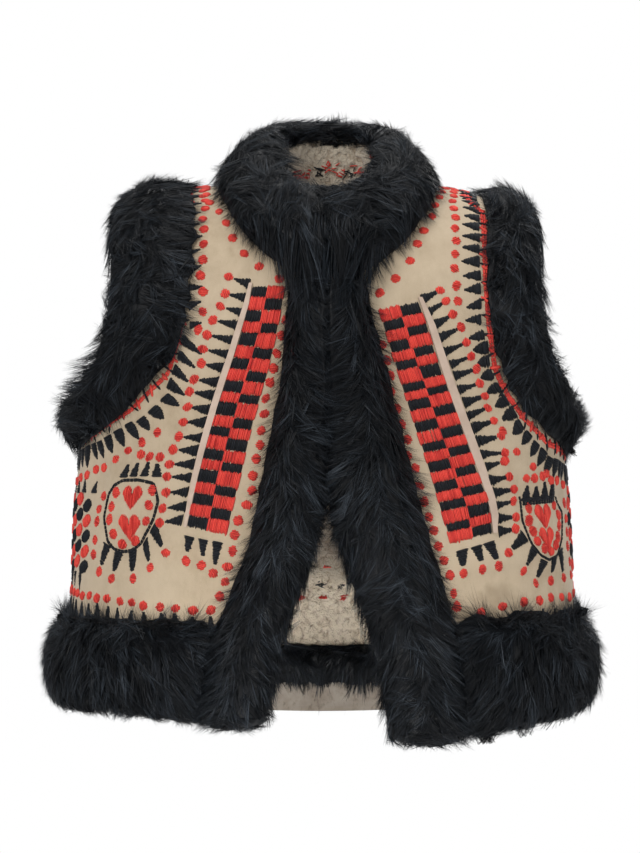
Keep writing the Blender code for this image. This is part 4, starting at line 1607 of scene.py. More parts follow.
FRONT_LEFT = Embroidery("stitches_front_left", 32, (
    Checker(
        line(
            (0.0364, 0.0325), (0.0432, 0.0066), (0.0498, -0.0180), (0.0563, -0.0530), (0.0636, -0.0868),
            (0.0754, -0.1430),
        ),
        line(
            (0.0612, 0.0393), (0.0672, 0.0210), (0.0750, -0.0070), (0.0820, -0.0344), (0.0868, -0.0595),
            (0.0946, -0.0925), (0.1003, -0.1100), (0.1028, -0.1359),
        ),
        23, Yarn.RED,
    ),
    Teeth(
        19,
        line(
            (0.0642, 0.0410), (0.0735, 0.0190), (0.0828, -0.0063), (0.0903, -0.0360), (0.0945, -0.0610),
            (0.1015, -0.0917), (0.1056, -0.1090), (0.1084, -0.1350),
        ),
        line(
            (0.0745, 0.0480), (0.0830, 0.0290), (0.0899, 0.0143), (0.0971, -0.0042), (0.1025, -0.0268),
            (0.1085, -0.0592), (0.1112, -0.0788), (0.1165, -0.0989), (0.1187, -0.1224), (0.1192, -0.1350),
        ),
        0.0090, blunt=0.30, bulge=-0.0005, dot=0.0040,
    ),
    Teeth(
        3,
        line((0.0825, -0.1490), (0.1010, -0.1430)),
        line((0.0838, -0.1600), (0.1050, -0.1555)),
        0.0100, blunt=0.35, dot=0.0062,
    ),
    Dots(20, line(
        (0.0289, 0.0299), (0.0396, -0.0009), (0.0507, -0.0720), (0.0600, -0.1086), (0.0691, -0.1497),
        (0.0792, -0.1924),
    )),
    Dots(11, line(
        (0.0830, 0.2000), (0.0810, 0.1810), (0.0726, 0.1203), (0.0610, 0.0865), (0.0494, 0.0599),
        (0.0361, 0.0454),
    )),
    Dots(13, line((0.0890, 0.1980), (0.0884, 0.1424), (0.0868, 0.0699), (0.0885, 0.0520), (0.0895, 0.0420))),
    Teeth(
        16,
        line(
            (0.1066, 0.1980), (0.1066, 0.1596), (0.1060, 0.0720), (0.1072, 0.0434), (0.1074, 0.0275),
            (0.1092, 0.0168),
        ),
        line(
            (0.0930, 0.1985), (0.0936, 0.1469), (0.0923, 0.0701), (0.0945, 0.0477), (0.0951, 0.0290),
            (0.0969, 0.0140),
        ),
        0.0098, bulge=0.0004,
    ),
    Teeth(
        17,
        line(
            (0.1123, 0.0077), (0.1136, -0.0030), (0.1159, -0.0138), (0.1202, -0.0223), (0.1250, -0.0315),
            (0.1304, -0.0424), (0.1365, -0.0548), (0.1446, -0.0626), (0.1681, -0.0783), (0.2320, -0.0880),
        ),
        line(
            (0.1001, 0.0059), (0.1040, -0.0050), (0.1052, -0.0150), (0.1090, -0.0260), (0.1135, -0.0401),
            (0.1188, -0.0500), (0.1250, -0.0594), (0.1351, -0.0707), (0.1534, -0.0907), (0.2260, -0.1030),
        ),
        0.0094, bulge=0.0016,
    ),
    Dots(8, line(
        (0.1150, -0.0590), (0.1211, -0.0666), (0.1317, -0.0768), (0.1451, -0.0863), (0.1900, -0.0990),
        (0.2320, -0.1080),
    )),
    Outline(ARMHOLE_LEFT, Yarn.RED, 0.0048),
    Rungs(28, ARMHOLE_LEFT, 0.0095, Yarn.RED, 0.3, 0.0032),
    Rungs(26, ARMHOLE_LEFT, 0.0130, Yarn.BLACK, -0.1, 0.0022),
    Outline(line(
        (0.1262, -0.1080), (0.1273, -0.1136), (0.1281, -0.1272), (0.1352, -0.1448), (0.1439, -0.1543),
        (0.1541, -0.1580), (0.1675, -0.1550), (0.1796, -0.1419), (0.1831, -0.1217), (0.1716, -0.1092),
    ), wide=0.0020),
    Outline(line((0.1290, -0.1134), (0.1690, -0.1116)), wide=0.0036),
    Outline(line((0.1295, -0.1112), (0.1685, -0.1094)), wide=0.0036),
    Heart((0.1512, -0.1240), 0.0195, 0.0200, -0.15),
    Heart((0.1536, -0.1412), 0.0180, 0.0180, -0.10),
    Dots(11, line(
        (0.1350, -0.1175), (0.1345, -0.1300), (0.1420, -0.1430), (0.1530, -0.1520), (0.1650, -0.1480),
        (0.1735, -0.1370), (0.1755, -0.1230), (0.1690, -0.1160),
    ), 0.0005, 1.12),
    Teeth(
        4,
        line((0.1323, -0.1110), (0.1650, -0.1096)),
        line((0.1335, -0.0990), (0.1665, -0.0985)),
        0.0102, blunt=0.2,
    ),
    Dots(5, line((0.1317, -0.0943), (0.1520, -0.0930), (0.1760, -0.0960))),
    Teeth(
        5,
        line((0.1292, -0.1385), (0.1351, -0.1471), (0.1485, -0.1576), (0.1600, -0.1572), (0.1745, -0.1508)),
        line((0.1190, -0.1478), (0.1271, -0.1600), (0.1432, -0.1713), (0.1611, -0.1705), (0.1768, -0.1675)),
        0.0098, blunt=0.35, dot=0.0058,
    ),
    Dots(6, line((0.1940, -0.1150), (0.1980, -0.1700))),
    Leaves((line((0.2110, -0.1150), (0.2110, -0.1640)), line((0.2280, -0.1110), (0.2280, -0.1600))), 5),
    Dots(11, line(
        (0.0791, -0.1924), (0.0914, -0.1979), (0.1055, -0.1931), (0.1373, -0.1885), (0.1944, -0.1875),
        (0.2320, -0.1830),
    )),
    Teeth(
        11,
        line((0.0823, -0.2148), (0.1049, -0.2132), (0.1361, -0.2080), (0.1818, -0.2060), (0.2330, -0.2010)),
        line((0.0857, -0.2050), (0.1052, -0.2025), (0.1369, -0.1976), (0.1840, -0.1953), (0.2310, -0.1890)),
        0.0098,
    ),
))


def back_rows(half: Callable[[Guide], Guide]) -> tuple[Motif, ...]:
    """The border rows of one half of the back, which go on from the front's.

    Args:
        half: takes a line of the right front to that half of the back.

    Returns:
        The rows round the armhole.
    """

    def carry(*places: Place) -> Guide:
        """A line of the right front, on that half."""
        return half(Guide(places))

    edge = half(ARMHOLE_RIGHT)
    return (
        Dots(
            15,
            carry(
                (-0.0780, 0.1980), (-0.0773, 0.1430), (-0.0760, 0.0762), (-0.0752, 0.0371), (-0.0761, 0.0069),
            ),
        ),
        Teeth(
            13,
            carry((-0.0894, 0.1980), (-0.0894, 0.1375), (-0.0873, 0.0775), (-0.0867, 0.0226)),
            carry((-0.0801, 0.1985), (-0.0801, 0.1395), (-0.0788, 0.0765), (-0.0782, 0.0245)),
            0.0074,
        ),
        Teeth(
            4,
            carry((-0.0918, 0.0120), (-0.1010, -0.0200)),
            carry((-0.0800, 0.0020), (-0.0880, -0.0290)),
            0.0090, bulge=0.0006,
        ),
        Teeth(
            13,
            carry(
                (-0.1035, -0.0310), (-0.1200, -0.0478), (-0.1557, -0.0634), (-0.1904, -0.0706),
                (-0.2300, -0.0760),
            ),
            carry(
                (-0.0935, -0.0380), (-0.1110, -0.0571), (-0.1304, -0.0695), (-0.1764, -0.0854),
                (-0.2260, -0.0900),
            ),
            0.0088, bulge=0.0016,
        ),
        Dots(
            11,
            carry(
                (-0.1031, -0.0581), (-0.1218, -0.0696), (-0.1468, -0.0833), (-0.1841, -0.0934),
                (-0.2320, -0.0980),
            ),
        ),
        Outline(edge, Yarn.RED, 0.0036),
        Rungs(26, edge, 0.0085, Yarn.RED, 0.3, 0.0022),
        Rungs(30, edge, 0.0125, Yarn.BLACK, -0.15, 0.0018),
    )


BACK = Embroidery("stitches_back", 33, (
    *back_rows(Guide.behind),
    *back_rows(lambda guide: guide.behind().across()),
    Teeth(
        17,
        line(
            (-0.0800, 0.2100), (-0.0720, 0.2400), (-0.0560, 0.2640), (0.0, 0.2740), (0.0560, 0.2640),
            (0.0720, 0.2400), (0.0800, 0.2100),
        ),
        line(
            (-0.0890, 0.2160), (-0.0800, 0.2500), (-0.0620, 0.2760), (0.0, 0.2880), (0.0620, 0.2760),
            (0.0800, 0.2500), (0.0890, 0.2160),
        ),
        dot=0.0048,
    ),
    Dots(36, line((-0.2320, 0.5870), (-0.1200, 0.5930), (0.0, 0.5940), (0.1200, 0.5930), (0.2320, 0.5870))),
    Teeth(
        36,
        line((-0.2320, 0.6080), (-0.1200, 0.6160), (0.0, 0.6170), (0.1200, 0.6160), (0.2320, 0.6080)),
        line((-0.2320, 0.5925), (-0.1200, 0.5985), (0.0, 0.5995), (0.1200, 0.5985), (0.2320, 0.5925)),
        0.0098, blunt=0.2,
    ),
))
ENDS_IN_LINING = Embroidery("stitch_ends", 34, (
    Ends(9, line((-0.0500, 0.5960), (0.0000, 0.5915), (0.0500, 0.5965)), Yarn.BLACK),
    Ends(5, line((-0.0560, 0.5790), (0.0620, 0.5750)), Yarn.RED, 0.0040, 4),
    Ends(9, line((-0.0560, 0.6030), (0.0560, 0.6020)), Yarn.RED),
), inside=True)
EMBROIDERY = (FRONT_RIGHT, FRONT_LEFT, BACK, ENDS_IN_LINING)


# The fur


class Course(Enum):
    """How a band of fur runs: along Z, or round an axis parallel to X or Z."""

    ALONG_Z = "along_z"
    ROUND_X = "round_x"
    ROUND_Z = "round_z"

    def reach(self, points: Array, centre: Array) -> Array:
        """How far along the band each point lies.

        Args:
            points: points in space, a row each.
            centre: the band's middle.

        Returns:
            A length or an angle for each point.
        """
        if self is Course.ALONG_Z:
            return points[:, 2]
        away = points - centre
        if self is Course.ROUND_X:
            return np.arctan2(away[:, 2], away[:, 1])
        return np.arctan2(away[:, 1], away[:, 0])


@dataclass(frozen=True)
class Comb:
    """Which way the hair lies: away from the band's own middle line, down, and a free direction."""

    out: float = 1.0
    down: float = 0.8
    swirl: float = 0.55
    free: Triple = (0.0, 0.0, 0.0)


@dataclass(frozen=True)
class Wisp:
    """A spot where the hair is brushed its own way and runs on past the band."""

    spot: Triple
    size: float
    heading: Triple
    reach: float


@dataclass
class FurBand:
    """A band of long fur: a dark undercoat, and hair in locks that reach as far as the solid."""

    node: str
    hairs: int
    length: float
    course: Course
    comb: Comb
    seed: int
    sink: float = 0.0075
    lock: int = 9
    tuft: int = 90
    lift: float = 0.0042
    overshoot: float = 0.0050
    fringe: float = 0.0130
    rim: float = 0.0075
    lip: float = 0.0018
    lip_heights: tuple[float, float] = (-2.0, -1.0)
    flow: float = 0.0
    over: bool = False
    bridge: float = 0.0130
    width: float = 0.00050
    levels: tuple[float, ...] = (0.0, 0.5, 1.0)
    thin: tuple[float, ...] = (1.0, 0.85)
    wisps: tuple[Wisp, ...] = ()
    evening: float = 0.5
    coat_along: float = 0.30
    coat_tone: float = 0.45
    coat_rough: float = 0.0016
    lip_reach: float = 0.0090
    lip_clear: float = 0.0004
    lip_least: float = 0.0008
    bare: float = 0.0016
    crowd: float = 0.0060

    def build(self, undercoat: Material, hair: Material) -> Piece:
        """Makes the undercoat and the hair, and takes the solid's place.

        Args:
            undercoat: the material of the undercoat.
            hair: the material of the hair.

        Returns:
            The piece of hair.
        """
        mesh = solid_mesh(self.node)
        others = tree_of([band.node for band in FUR_BANDS if band.node != self.node])
        skin = self.make_undercoat(mesh.copy(), others, undercoat)
        coat = self.grow(mesh, others, hair)
        mesh.free()
        for piece in (skin, coat):
            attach(piece, "root")
            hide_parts(self.node)
        LOG.info("%s: %d hairs", self.node, self.hairs)
        return coat

    def make_undercoat(
        self, mesh: Mesh, others: BVHTree, finish: Material
    ) -> Piece:
        """The dense short fur under the hair, a little inside the solid.

        Args:
            mesh: the solid's own mesh.
            others: a search tree over the other bands.
            finish: its material.

        Returns:
            The piece.
        """
        bmesh.ops.subdivide_edges(mesh, edges=mesh.edges[:], cuts=2, use_grid_fill=True)
        for _ in range(2):
            smoothed(mesh, self.evening)
        mesh.normal_update()
        self.spread(mesh)
        points = spots_of(mesh)
        away = np.minimum(distances(points, CLOTH) * 0.55, distances(points, others) * 0.6)
        sunk = np.clip(away, 0.0, self.sink * 0.62)
        for vert, depth in zip(mesh.verts, sunk):
            rough = noise.noise(vert.co * 130.0) * self.coat_rough
            vert.co -= vert.normal * max(depth + rough, 0.0)
        piece = named(mesh, f"{self.node}_undercoat", finish)
        count = len(piece.data.vertices)
        # Its along and tone give the undercoat mostly the root colour, the fur's painted shade.
        point_values(piece.data, "along", np.full(count, self.coat_along))
        point_values(piece.data, "tone", np.full(count, self.coat_tone))
        return piece

    def spread(self, mesh: Mesh) -> None:
        """Lets the foot of the band out over the suede in uneven tufts.

        Args:
            mesh: the solid's own mesh.
        """
        gap, _, side, steep = beside_cloth(spots_of(mesh), np.array([vert.normal[:] for vert in mesh.verts]))
        low, high = self.lip_heights
        reach = self.lip * np.clip((spots_of(mesh)[:, 2] - low) / (high - low), 0.32, 1.0)
        reach = reach * np.exp(-((gap / self.lip_reach) ** 2)) * np.clip(3 * steep, 0, 1) * self.flows(side)
        tufts = [noise.noise(vert.co * 95.0) + noise.noise(vert.co * 260.0) * 0.6 for vert in mesh.verts]
        reach = reach * np.clip(0.85 + 0.55 * np.array(tufts), 0.3, 1.4)
        grown = spots_of(mesh) + side * reach[:, None]
        for vert, spot, moved in zip(mesh.verts, clear_of_cloth(grown, self.lip_clear), reach):
            if moved > self.lip_least:
                vert.co = spot
        mesh.normal_update()

    def grow(self, mesh: Mesh, others: BVHTree, finish: Material) -> Piece:
        """Grows the hair out of the undercoat, each one combed along the solid's face.

        Args:
            mesh: the solid's own mesh.
            others: a search tree over the other bands.
            finish: its material.

        Returns:
            The piece.
        """
        rng = np.random.default_rng(self.seed)
        bmesh.ops.subdivide_edges(mesh, edges=mesh.edges[:], cuts=1, use_grid_fill=True)
        smoothed(mesh, self.evening)
        bmesh.ops.triangulate(mesh, faces=mesh.faces[:])
        mesh.normal_update()
        self.spread(mesh)
        envelope = BVHTree.FromBMesh(mesh)
        tips, normals = self.scatter(mesh, others, rng)
        locks, tufts = self.choose_locks(tips, self.lock, rng), self.choose_locks(tips, self.tuft, rng)
        headings = self.headings(mesh, tips, normals, locks, rng)
        headings, runs, drops = self.reach_over(tips, normals, headings, others, rng)
        loose = rng.random(len(tips))
        free = self.overshoot * (loose[tufts] * 0.8 + loose[locks] * 0.8 + loose * 0.4)
        under = np.clip(-2.0 * normals[:, 2] - 0.4, 0, 1)
        runs = runs + free * (1 - 0.5 * under)
        stand = rng.normal(0.1, 0.7, len(tips))
        stand = np.clip(0.45 * stand[tufts] + 0.55 * stand[locks] + 0.45 * stand, -0.7, 2.0)
        lift = self.lift * (1 - 0.2 * under) * stand
        length = self.length * (0.72 + 0.5 * loose) * (0.8 + 0.4 * rng.random(len(tips)))[locks]
        rings = self.comb_back(envelope, tips, headings, length, rng)
        rings[:, -1] = tips + normals * lift[:, None] + headings * runs[:, None] + drops
        rings = self.gather(self.gather(rings, locks, 0.15, 0.60, rng), tufts, 0.05, 0.30, rng)
        if self.over:
            rings[:, 1:] = lay_over(rings[:, 1:], others)
        rings = clear_of_cloth(rings)
        # The tone picks the paler hairs, lock by lock: guard hairs and painted highlights.
        tone = np.clip(0.45 * rng.random(len(tips)) + 0.35 * loose[locks] + 0.25 * loose[tufts], 0, 1)
        return self.ribbons(rings, normals, tone, rng, finish)

    def scatter(
        self, mesh: Mesh, others: BVHTree, rng: Chance
    ) -> tuple[Array, Array]:
        """Scatters hair tips on the part of the solid that doesn't lie on the cloth, closer at its borders.

        The faces are taken in order of place, so that every run draws the same hair.

        Args:
            mesh: the solid's face, as triangles.
            others: the other bands.
            rng: the source of chance.

        Returns:
            The tips and the outward normals there.
        """
        corners = np.array([sorted(loop.vert.co[:] for loop in face.loops) for face in mesh.faces])
        facing = np.array([face.normal[:] for face in mesh.faces])
        order = np.lexsort(np.round(corners.mean(axis=1), 6).T)
        corners, facing = corners[order], facing[order]
        centres = corners.mean(axis=1)
        away = distances(centres, CLOTH)
        area = np.linalg.norm(np.cross(corners[:, 1] - corners[:, 0], corners[:, 2] - corners[:, 0]), axis=1)
        border = np.exp(-away / self.crowd) + np.exp(-((distances(centres, others) / self.bridge) ** 2))
        share = area * (1 + 1.4 * border) * (away > self.bare)
        chosen = rng.choice(len(area), self.hairs, p=share / share.sum())
        a, b = rng.random(self.hairs), rng.random(self.hairs)
        a, b = np.where(a + b > 1, 1 - a, a)[:, None], np.where(a + b > 1, 1 - b, b)[:, None]
        corners = corners[chosen]
        tips = corners[:, 0] + a * (corners[:, 1] - corners[:, 0]) + b * (corners[:, 2] - corners[:, 0])
        return tips, facing[chosen]

    def choose_locks(self, tips: Array, size: int, rng: Chance) -> Array:
        """The number of the hair that leads each hair's lock, with size hairs to a lock.

        Args:
            tips: the hair tips, a row each.
            size: how many hairs a lock has.
            rng: the source of chance.

        Returns:
            For each hair, the number of the hair that leads its lock.
        """
        leaders = rng.choice(len(tips), len(tips) // size, replace=False)
        tree = KDTree(len(leaders))
        for leader in leaders:
            tree.insert(tips[leader], int(leader))
        tree.balance()
        return np.array([tree.find(tip)[1] for tip in tips])

    def headings(
        self, mesh: Mesh, tips: Array, normals: Array, locks: Array, rng: Chance
    ) -> Array:
        """The direction that each hair is combed in, along the solid's face.

        Args:
            mesh: the solid's own mesh.
            tips: the hair tips, a row each.
            normals: the outward normals there.
            locks: the leader of each hair.
            rng: the source of chance.

        Returns:
            The directions, with length 1.
        """
        points = spots_of(mesh)
        centre = points.mean(axis=0)
        order = np.linspace(*np.percentile(self.course.reach(points, centre), (0, 100)), 25)
        where = self.course.reach(points, centre)
        middle = []
        for low, high in zip(order, order[1:]):
            inside = points[(where >= low) & (where <= high)]
            middle.append((inside.min(axis=0) + inside.max(axis=0)) / 2 if len(inside) else centre)
        keys = (order[1:] + order[:-1]) / 2
        reach = self.course.reach(tips, centre)
        spine = np.stack([np.interp(reach, keys, np.array(middle)[:, k]) for k in range(3)], axis=1)
        out = unit(tips - spine)
        out = unit(out - normals * (out * normals).sum(1)[:, None] * 0.999)
        spots = [Vector(tip) for tip in tips]
        swirl = [(noise.noise_vector(tip * 27.0) + noise.noise_vector(tip * 75.0) * 0.6)[:] for tip in spots]
        chance = rng.normal(0, 0.30, (len(tips), 3))
        heading = out * self.comb.out + np.array(swirl) * self.comb.swirl + np.array(self.comb.free)
        heading = heading + np.array([0.0, 0.0, -1.0]) * self.comb.down
        heading = unit(heading)[locks] * 0.8 + unit(heading) * 0.2 + chance[locks] + 0.35 * chance
        return unit(heading - normals * (heading * normals).sum(1)[:, None])

    def reach_over(
        self, tips: Array, normals: Array, headings: Array, others: BVHTree, rng: Chance
    ) -> tuple[Array, Array, Array]:
        """Sends hair across the seams to the next band, and out over the suede that borders the band.

        Args:
            tips: the hair tips, a row each.
            normals: the outward normals there.
            headings: the direction that each hair is combed in.
            others: a search tree over the other bands.
            rng: the source of chance.

        Returns:
            The headings, how far each hair runs past its tip, and how far its end drops towards the suede.
        """
        found = [others.find_nearest(tip) for tip in tips]
        away = np.array([near[3] for near in found])
        toward = unit(np.array([near[0][:] for near in found]) - tips)
        seam = np.exp(-((away / self.bridge) ** 2)) * rng.uniform(0.5, 1.0, len(tips))
        seam = seam * np.clip(1.0 - 1.4 * toward[:, 2], 0.1, 1.0)
        headings = headings * (1 - 0.6 * seam)[:, None] + toward * (1.2 * seam)[:, None]
        headings = unit(headings - normals * ((headings * normals).sum(1) * 0.85)[:, None])
        runs = seam * (away + 0.003 + 0.009 * rng.random(len(tips)))
        gap, off, side, steep = beside_cloth(tips, normals)
        rim = np.exp(-((gap / self.rim) ** 2)) * np.clip(3.5 * steep, 0, 1) * (seam < 0.4) * self.flows(side)
        rim = rim * rng.uniform(0.45, 1.0, len(tips))
        headings = unit(headings * (1 - 0.8 * rim)[:, None] + side * rim[:, None])
        past = rim * rng.random(len(tips)) ** 0.6
        runs = runs + self.fringe * past
        drops = off * (-0.7 * gap * past)[:, None]
        for wisp in self.wisps:
            near = np.exp(-((np.linalg.norm(tips - np.array(wisp.spot), axis=1) / wisp.size) ** 2))
            near = near * rng.uniform(0.4, 1.0, len(tips))
            brushed = unit(np.array([wisp.heading])) * near[:, None]
            headings = unit(headings * (1 - 0.9 * near)[:, None] + brushed)
            runs = runs + wisp.reach * near * rng.random(len(tips)) ** 0.7
        return headings, runs, drops

    def flows(self, side: Array) -> Array:
        """How freely fur reaches that way along the suede: flow is 1 for up only and -1 for down only."""
        return np.clip(1.0 + 2.5 * np.minimum(self.flow * side[:, 2], 0.0), 0.0, 1.0)

    def comb_back(
        self,
        envelope: BVHTree,
        tips: Array,
        headings: Array,
        length: Array,
        rng: Chance,
    ) -> Array:
        """Lays each hair back from its tip, deeper into the fur towards its root.

        Args:
            envelope: a search tree over the face of the fur.
            tips: the hair tips, a row each.
            headings: the direction that each hair is combed in.
            length: the length of each hair.
            rng: the source of chance.

        Returns:
            Points of the hairs: a hair, a level from root to tip, and x, y, z.
        """
        rings = np.empty((len(tips), len(self.levels), 3))
        deep = self.sink * (0.75 + 0.5 * rng.random(len(tips)))
        for k, t in enumerate(self.levels[:-1]):
            depth = deep * (1 - t) ** 1.25
            for i, spot in enumerate(tips - headings * (length * (1 - t))[:, None]):
                near, normal, _, _ = envelope.find_nearest(spot)
                rings[i, k] = near - normal * depth[i]
        return rings

    def gather(self, rings: Array, locks: Array, least: float, most: float, rng: Chance) -> Array:
        """Pulls the hairs of each lock together towards their tips, by a share between least and most.

        Args:
            rings: the points of the hairs.
            locks: the leader of each hair.
            least: the smallest share.
            most: the largest share.
            rng: the source of chance.

        Returns:
            The moved points.
        """
        hold = rng.uniform(least, most, len(rings))
        share = hold[:, None] * np.array(self.levels)[None, :] ** 1.5
        return rings + (rings[locks] - rings) * share[:, :, None]

    def ribbons(
        self, rings: Array, normals: Array, tone: Array, rng: Chance, finish: Material
    ) -> Piece:
        """Turns the hairs into thin tapering ribbons, each at its own twist.

        Args:
            rings: the points of the hairs.
            normals: the outward normals there.
            tone: how pale each hair is, from 0 to 1.
            rng: the source of chance.
            finish: its material.

        Returns:
            The piece.
        """
        count, rows = len(rings), len(self.levels)
        run = np.gradient(rings, axis=1)
        run /= np.maximum(np.linalg.norm(run, axis=2, keepdims=True), 1e-9)
        across = np.cross(run, normals[:, None, :])
        across /= np.maximum(np.linalg.norm(across, axis=2, keepdims=True), 1e-9)
        lift = np.cross(across, run)
        twist = rng.normal(0, 0.6, count)[:, None, None]
        across = across * np.cos(twist) + lift * np.sin(twist)
        wide = self.width * (0.7 + 0.6 * rng.random(count))
        points = np.empty((count, 2 * rows - 1, 3))
        for k in range(rows - 1):
            half = across[:, k] * (wide * self.thin[k] / 2)[:, None]
            points[:, 2 * k], points[:, 2 * k + 1] = rings[:, k] - half, rings[:, k] + half
        points[:, -1] = rings[:, -1]
        base = np.arange(count)[:, None] * (2 * rows - 1)
        faces = []
        for k in range(rows - 1):
            a, b, c = 2 * k, 2 * k + 1, 2 * k + 2
            faces.append(np.concatenate([base + a, base + b, base + c], axis=1))
            if k < rows - 2:
                faces.append(np.concatenate([base + b, base + c + 1, base + c], axis=1))
        piece = array_mesh(f"{self.node}_hair", points.reshape(-1, 3), np.concatenate(faces), [finish])
        along = np.repeat(np.array(self.levels), 2)[: 2 * rows - 1]
        point_values(piece.data, "along", np.tile(along, count))
        point_values(piece.data, "tone", np.repeat(tone, 2 * rows - 1))
        return piece


def tree_of(nodes: Iterable[str]) -> BVHTree:
    """A search tree over several solids.

    Args:
        nodes: the names of the solids.

    Returns:
        The tree.
    """
    mesh = bmesh.new()
    for node in nodes:
        mesh.from_mesh(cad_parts[node].data)
    tree = BVHTree.FromBMesh(mesh)
    mesh.free()
    return tree


def distances(points: Array, tree: BVHTree) -> Array:
    """How far each point is from the solids of a tree."""
    return np.array([tree.find_nearest(point)[3] for point in points])


def beside_cloth(points: Array, normals: Array) -> tuple[Array, Array, Array, Array]:
    """How points on the fur stand to the suede.

    Args:
        points: points on the fur, a row each.
        normals: the outward normals there.

    Returns:
        The distance, the way up from the suede, the way out of the fur along it, and how upright the face is.
    """
    off = points - np.array([CLOTH.find_nearest(point)[0][:] for point in points])
    gap = np.linalg.norm(off, axis=1)
    off = unit(off)
    side = normals - off * (off * normals).sum(1)[:, None]
    return gap, off, unit(side), np.linalg.norm(side, axis=1)


OVERLAP = 0.022
FORM_REACH, FORM_MISS = 0.03, 0.002
CLOTH_MIDDLE = -0.0045


def lay_over(rings: Array, others: BVHTree, lift: float = 0.0022) -> Array:
    """Lifts hair that would pass into the other bands until it lies on them.

    Args:
        rings: the points of the hairs.
        others: a search tree over the other bands.
        lift: how high the hair lies on them.

    Returns:
        The moved points.
    """
    flat = rings.reshape(-1, 3).copy()
    for i, spot in enumerate(flat):
        near, normal, _, gap = others.find_nearest(spot)
        if gap < OVERLAP and (Vector(spot) - near).dot(normal) < lift:
            flat[i] = near + normal * lift * (0.5 + (i % 7) / 6)
    return flat.reshape(rings.shape)


def clear_of_cloth(rings: Array, least: float = 0.0009) -> Array:
    """Lifts the hair that would pass through the suede until it lies on it.

    Args:
        rings: the points of the hairs.
        least: how high the hair lies on the suede.

    Returns:
        The moved points.
    """
    flat = rings.reshape(-1, 3).copy()
    places, lift = FORM.nearest(flat)
    miss = np.linalg.norm(flat - FORM.points(places), axis=1)
    sound = (np.abs(lift) < FORM_REACH) & (np.abs(miss - np.abs(lift)) < FORM_MISS)
    low = sound & (lift < least) & (lift > CLOTH_MIDDLE)
    flat[low] = FORM.on(places[low], least + DRAPE.height(places[low]))
    return flat.reshape(rings.shape)


CLOTH_PANELS = ("back", "front_left", "front_right")
CLOTH = tree_of([*CLOTH_PANELS, *(f"lining_{panel}" for panel in CLOTH_PANELS)])


PANELS = (
    Panel("back", (0.47, 0.60), 0.222),
    Panel("front_left", (0.24, 0.60), 0.083),
    Panel("front_right", (0.24, 0.60), 0.083),
)
LININGS = (
    Lining("lining_back", (0.47, 0.60), 0.222, 7),
    Lining("lining_front_left", (0.24, 0.60), 0.083, 4),
    Lining("lining_front_right", (0.24, 0.60), 0.083, 4),
)
FUR_BANDS = (
    FurBand(
        "collar_fur", 36000, 0.024, Course.ROUND_Z, Comb(0.8, 0.45, 1.3), 11, sink=0.0060, over=True,
        wisps=(
            Wisp((-0.026, -0.115, -0.070), 0.022, (0.10, -0.85, -1.0), 0.038),
            Wisp((0.030, -0.115, -0.070), 0.022, (-0.10, -0.85, -1.0), 0.038),
            Wisp((0.002, -0.118, -0.072), 0.020, (0.0, -0.85, -1.0), 0.042),
            Wisp((-0.038, -0.030, 0.018), 0.030, (1.0, -0.1, -0.3), 0.030),
            Wisp((0.044, -0.030, 0.010), 0.016, (-1.0, -0.1, -0.4), 0.006),
            Wisp((-0.028, 0.050, 0.052), 0.018, (0.5, -0.5, -0.4), 0.014),
            Wisp((0.038, 0.046, 0.050), 0.018, (-0.5, -0.5, -0.4), 0.014),
        ),
    ),
    FurBand("edge_fur_left", 22000, 0.023, Course.ALONG_Z, Comb(0.65, 1.1, 1.0), 12, bridge=0.017, flow=1.0),
    FurBand(
        "edge_fur_right", 21000, 0.023, Course.ALONG_Z, Comb(0.65, 1.1, 1.0), 13, overshoot=0.0036,
        bridge=0.017, flow=1.0,
    ),
    FurBand(
        "armhole_fur_left", 28000, 0.025, Course.ROUND_X, Comb(0.7, 0.5, 1.8), 14, fringe=0.012, rim=0.008,
        lip=0.011, lip_heights=(-0.11, -0.165),
    ),
    FurBand(
        "armhole_fur_right", 34000, 0.025, Course.ROUND_X, Comb(0.7, 0.5, 1.8), 15, fringe=0.015, rim=0.009,
        lip=0.017, lip_heights=(-0.165, -0.130),
        wisps=(
            Wisp((-0.190, -0.060, -0.140), 0.030, (-1.0, -0.2, 0.05), 0.016),
            Wisp((-0.205, -0.060, -0.180), 0.024, (-0.9, -0.2, -0.2), 0.010),
        ),
    ),
    FurBand(
        "hem_fur_left", 15500, 0.025, Course.ROUND_Z, Comb(0.7, 1.3, 0.8), 16, fringe=0.026, rim=0.012,
        lip=0.009, bridge=0.018, flow=1.0,
    ),
    FurBand(
        "hem_fur_right", 16500, 0.025, Course.ROUND_Z, Comb(0.7, 1.3, 0.8), 17, fringe=0.018, rim=0.010,
        lip=0.004, bridge=0.018, flow=1.0,
    ),
    FurBand(
        "hem_fur_back", 27000, 0.025, Course.ROUND_Z, Comb(0.7, 1.3, 0.8), 18, fringe=0.018, rim=0.010,
        flow=1.0,
    ),
    FurBand(
        "hem_strip_back", 15000, 0.018, Course.ROUND_Z, Comb(0.5, 1.2, 0.9), 19, sink=0.005, overshoot=0.010,
        fringe=0.022, rim=0.009, lip=0.006, flow=-1.0,
    ),
)


# The studio


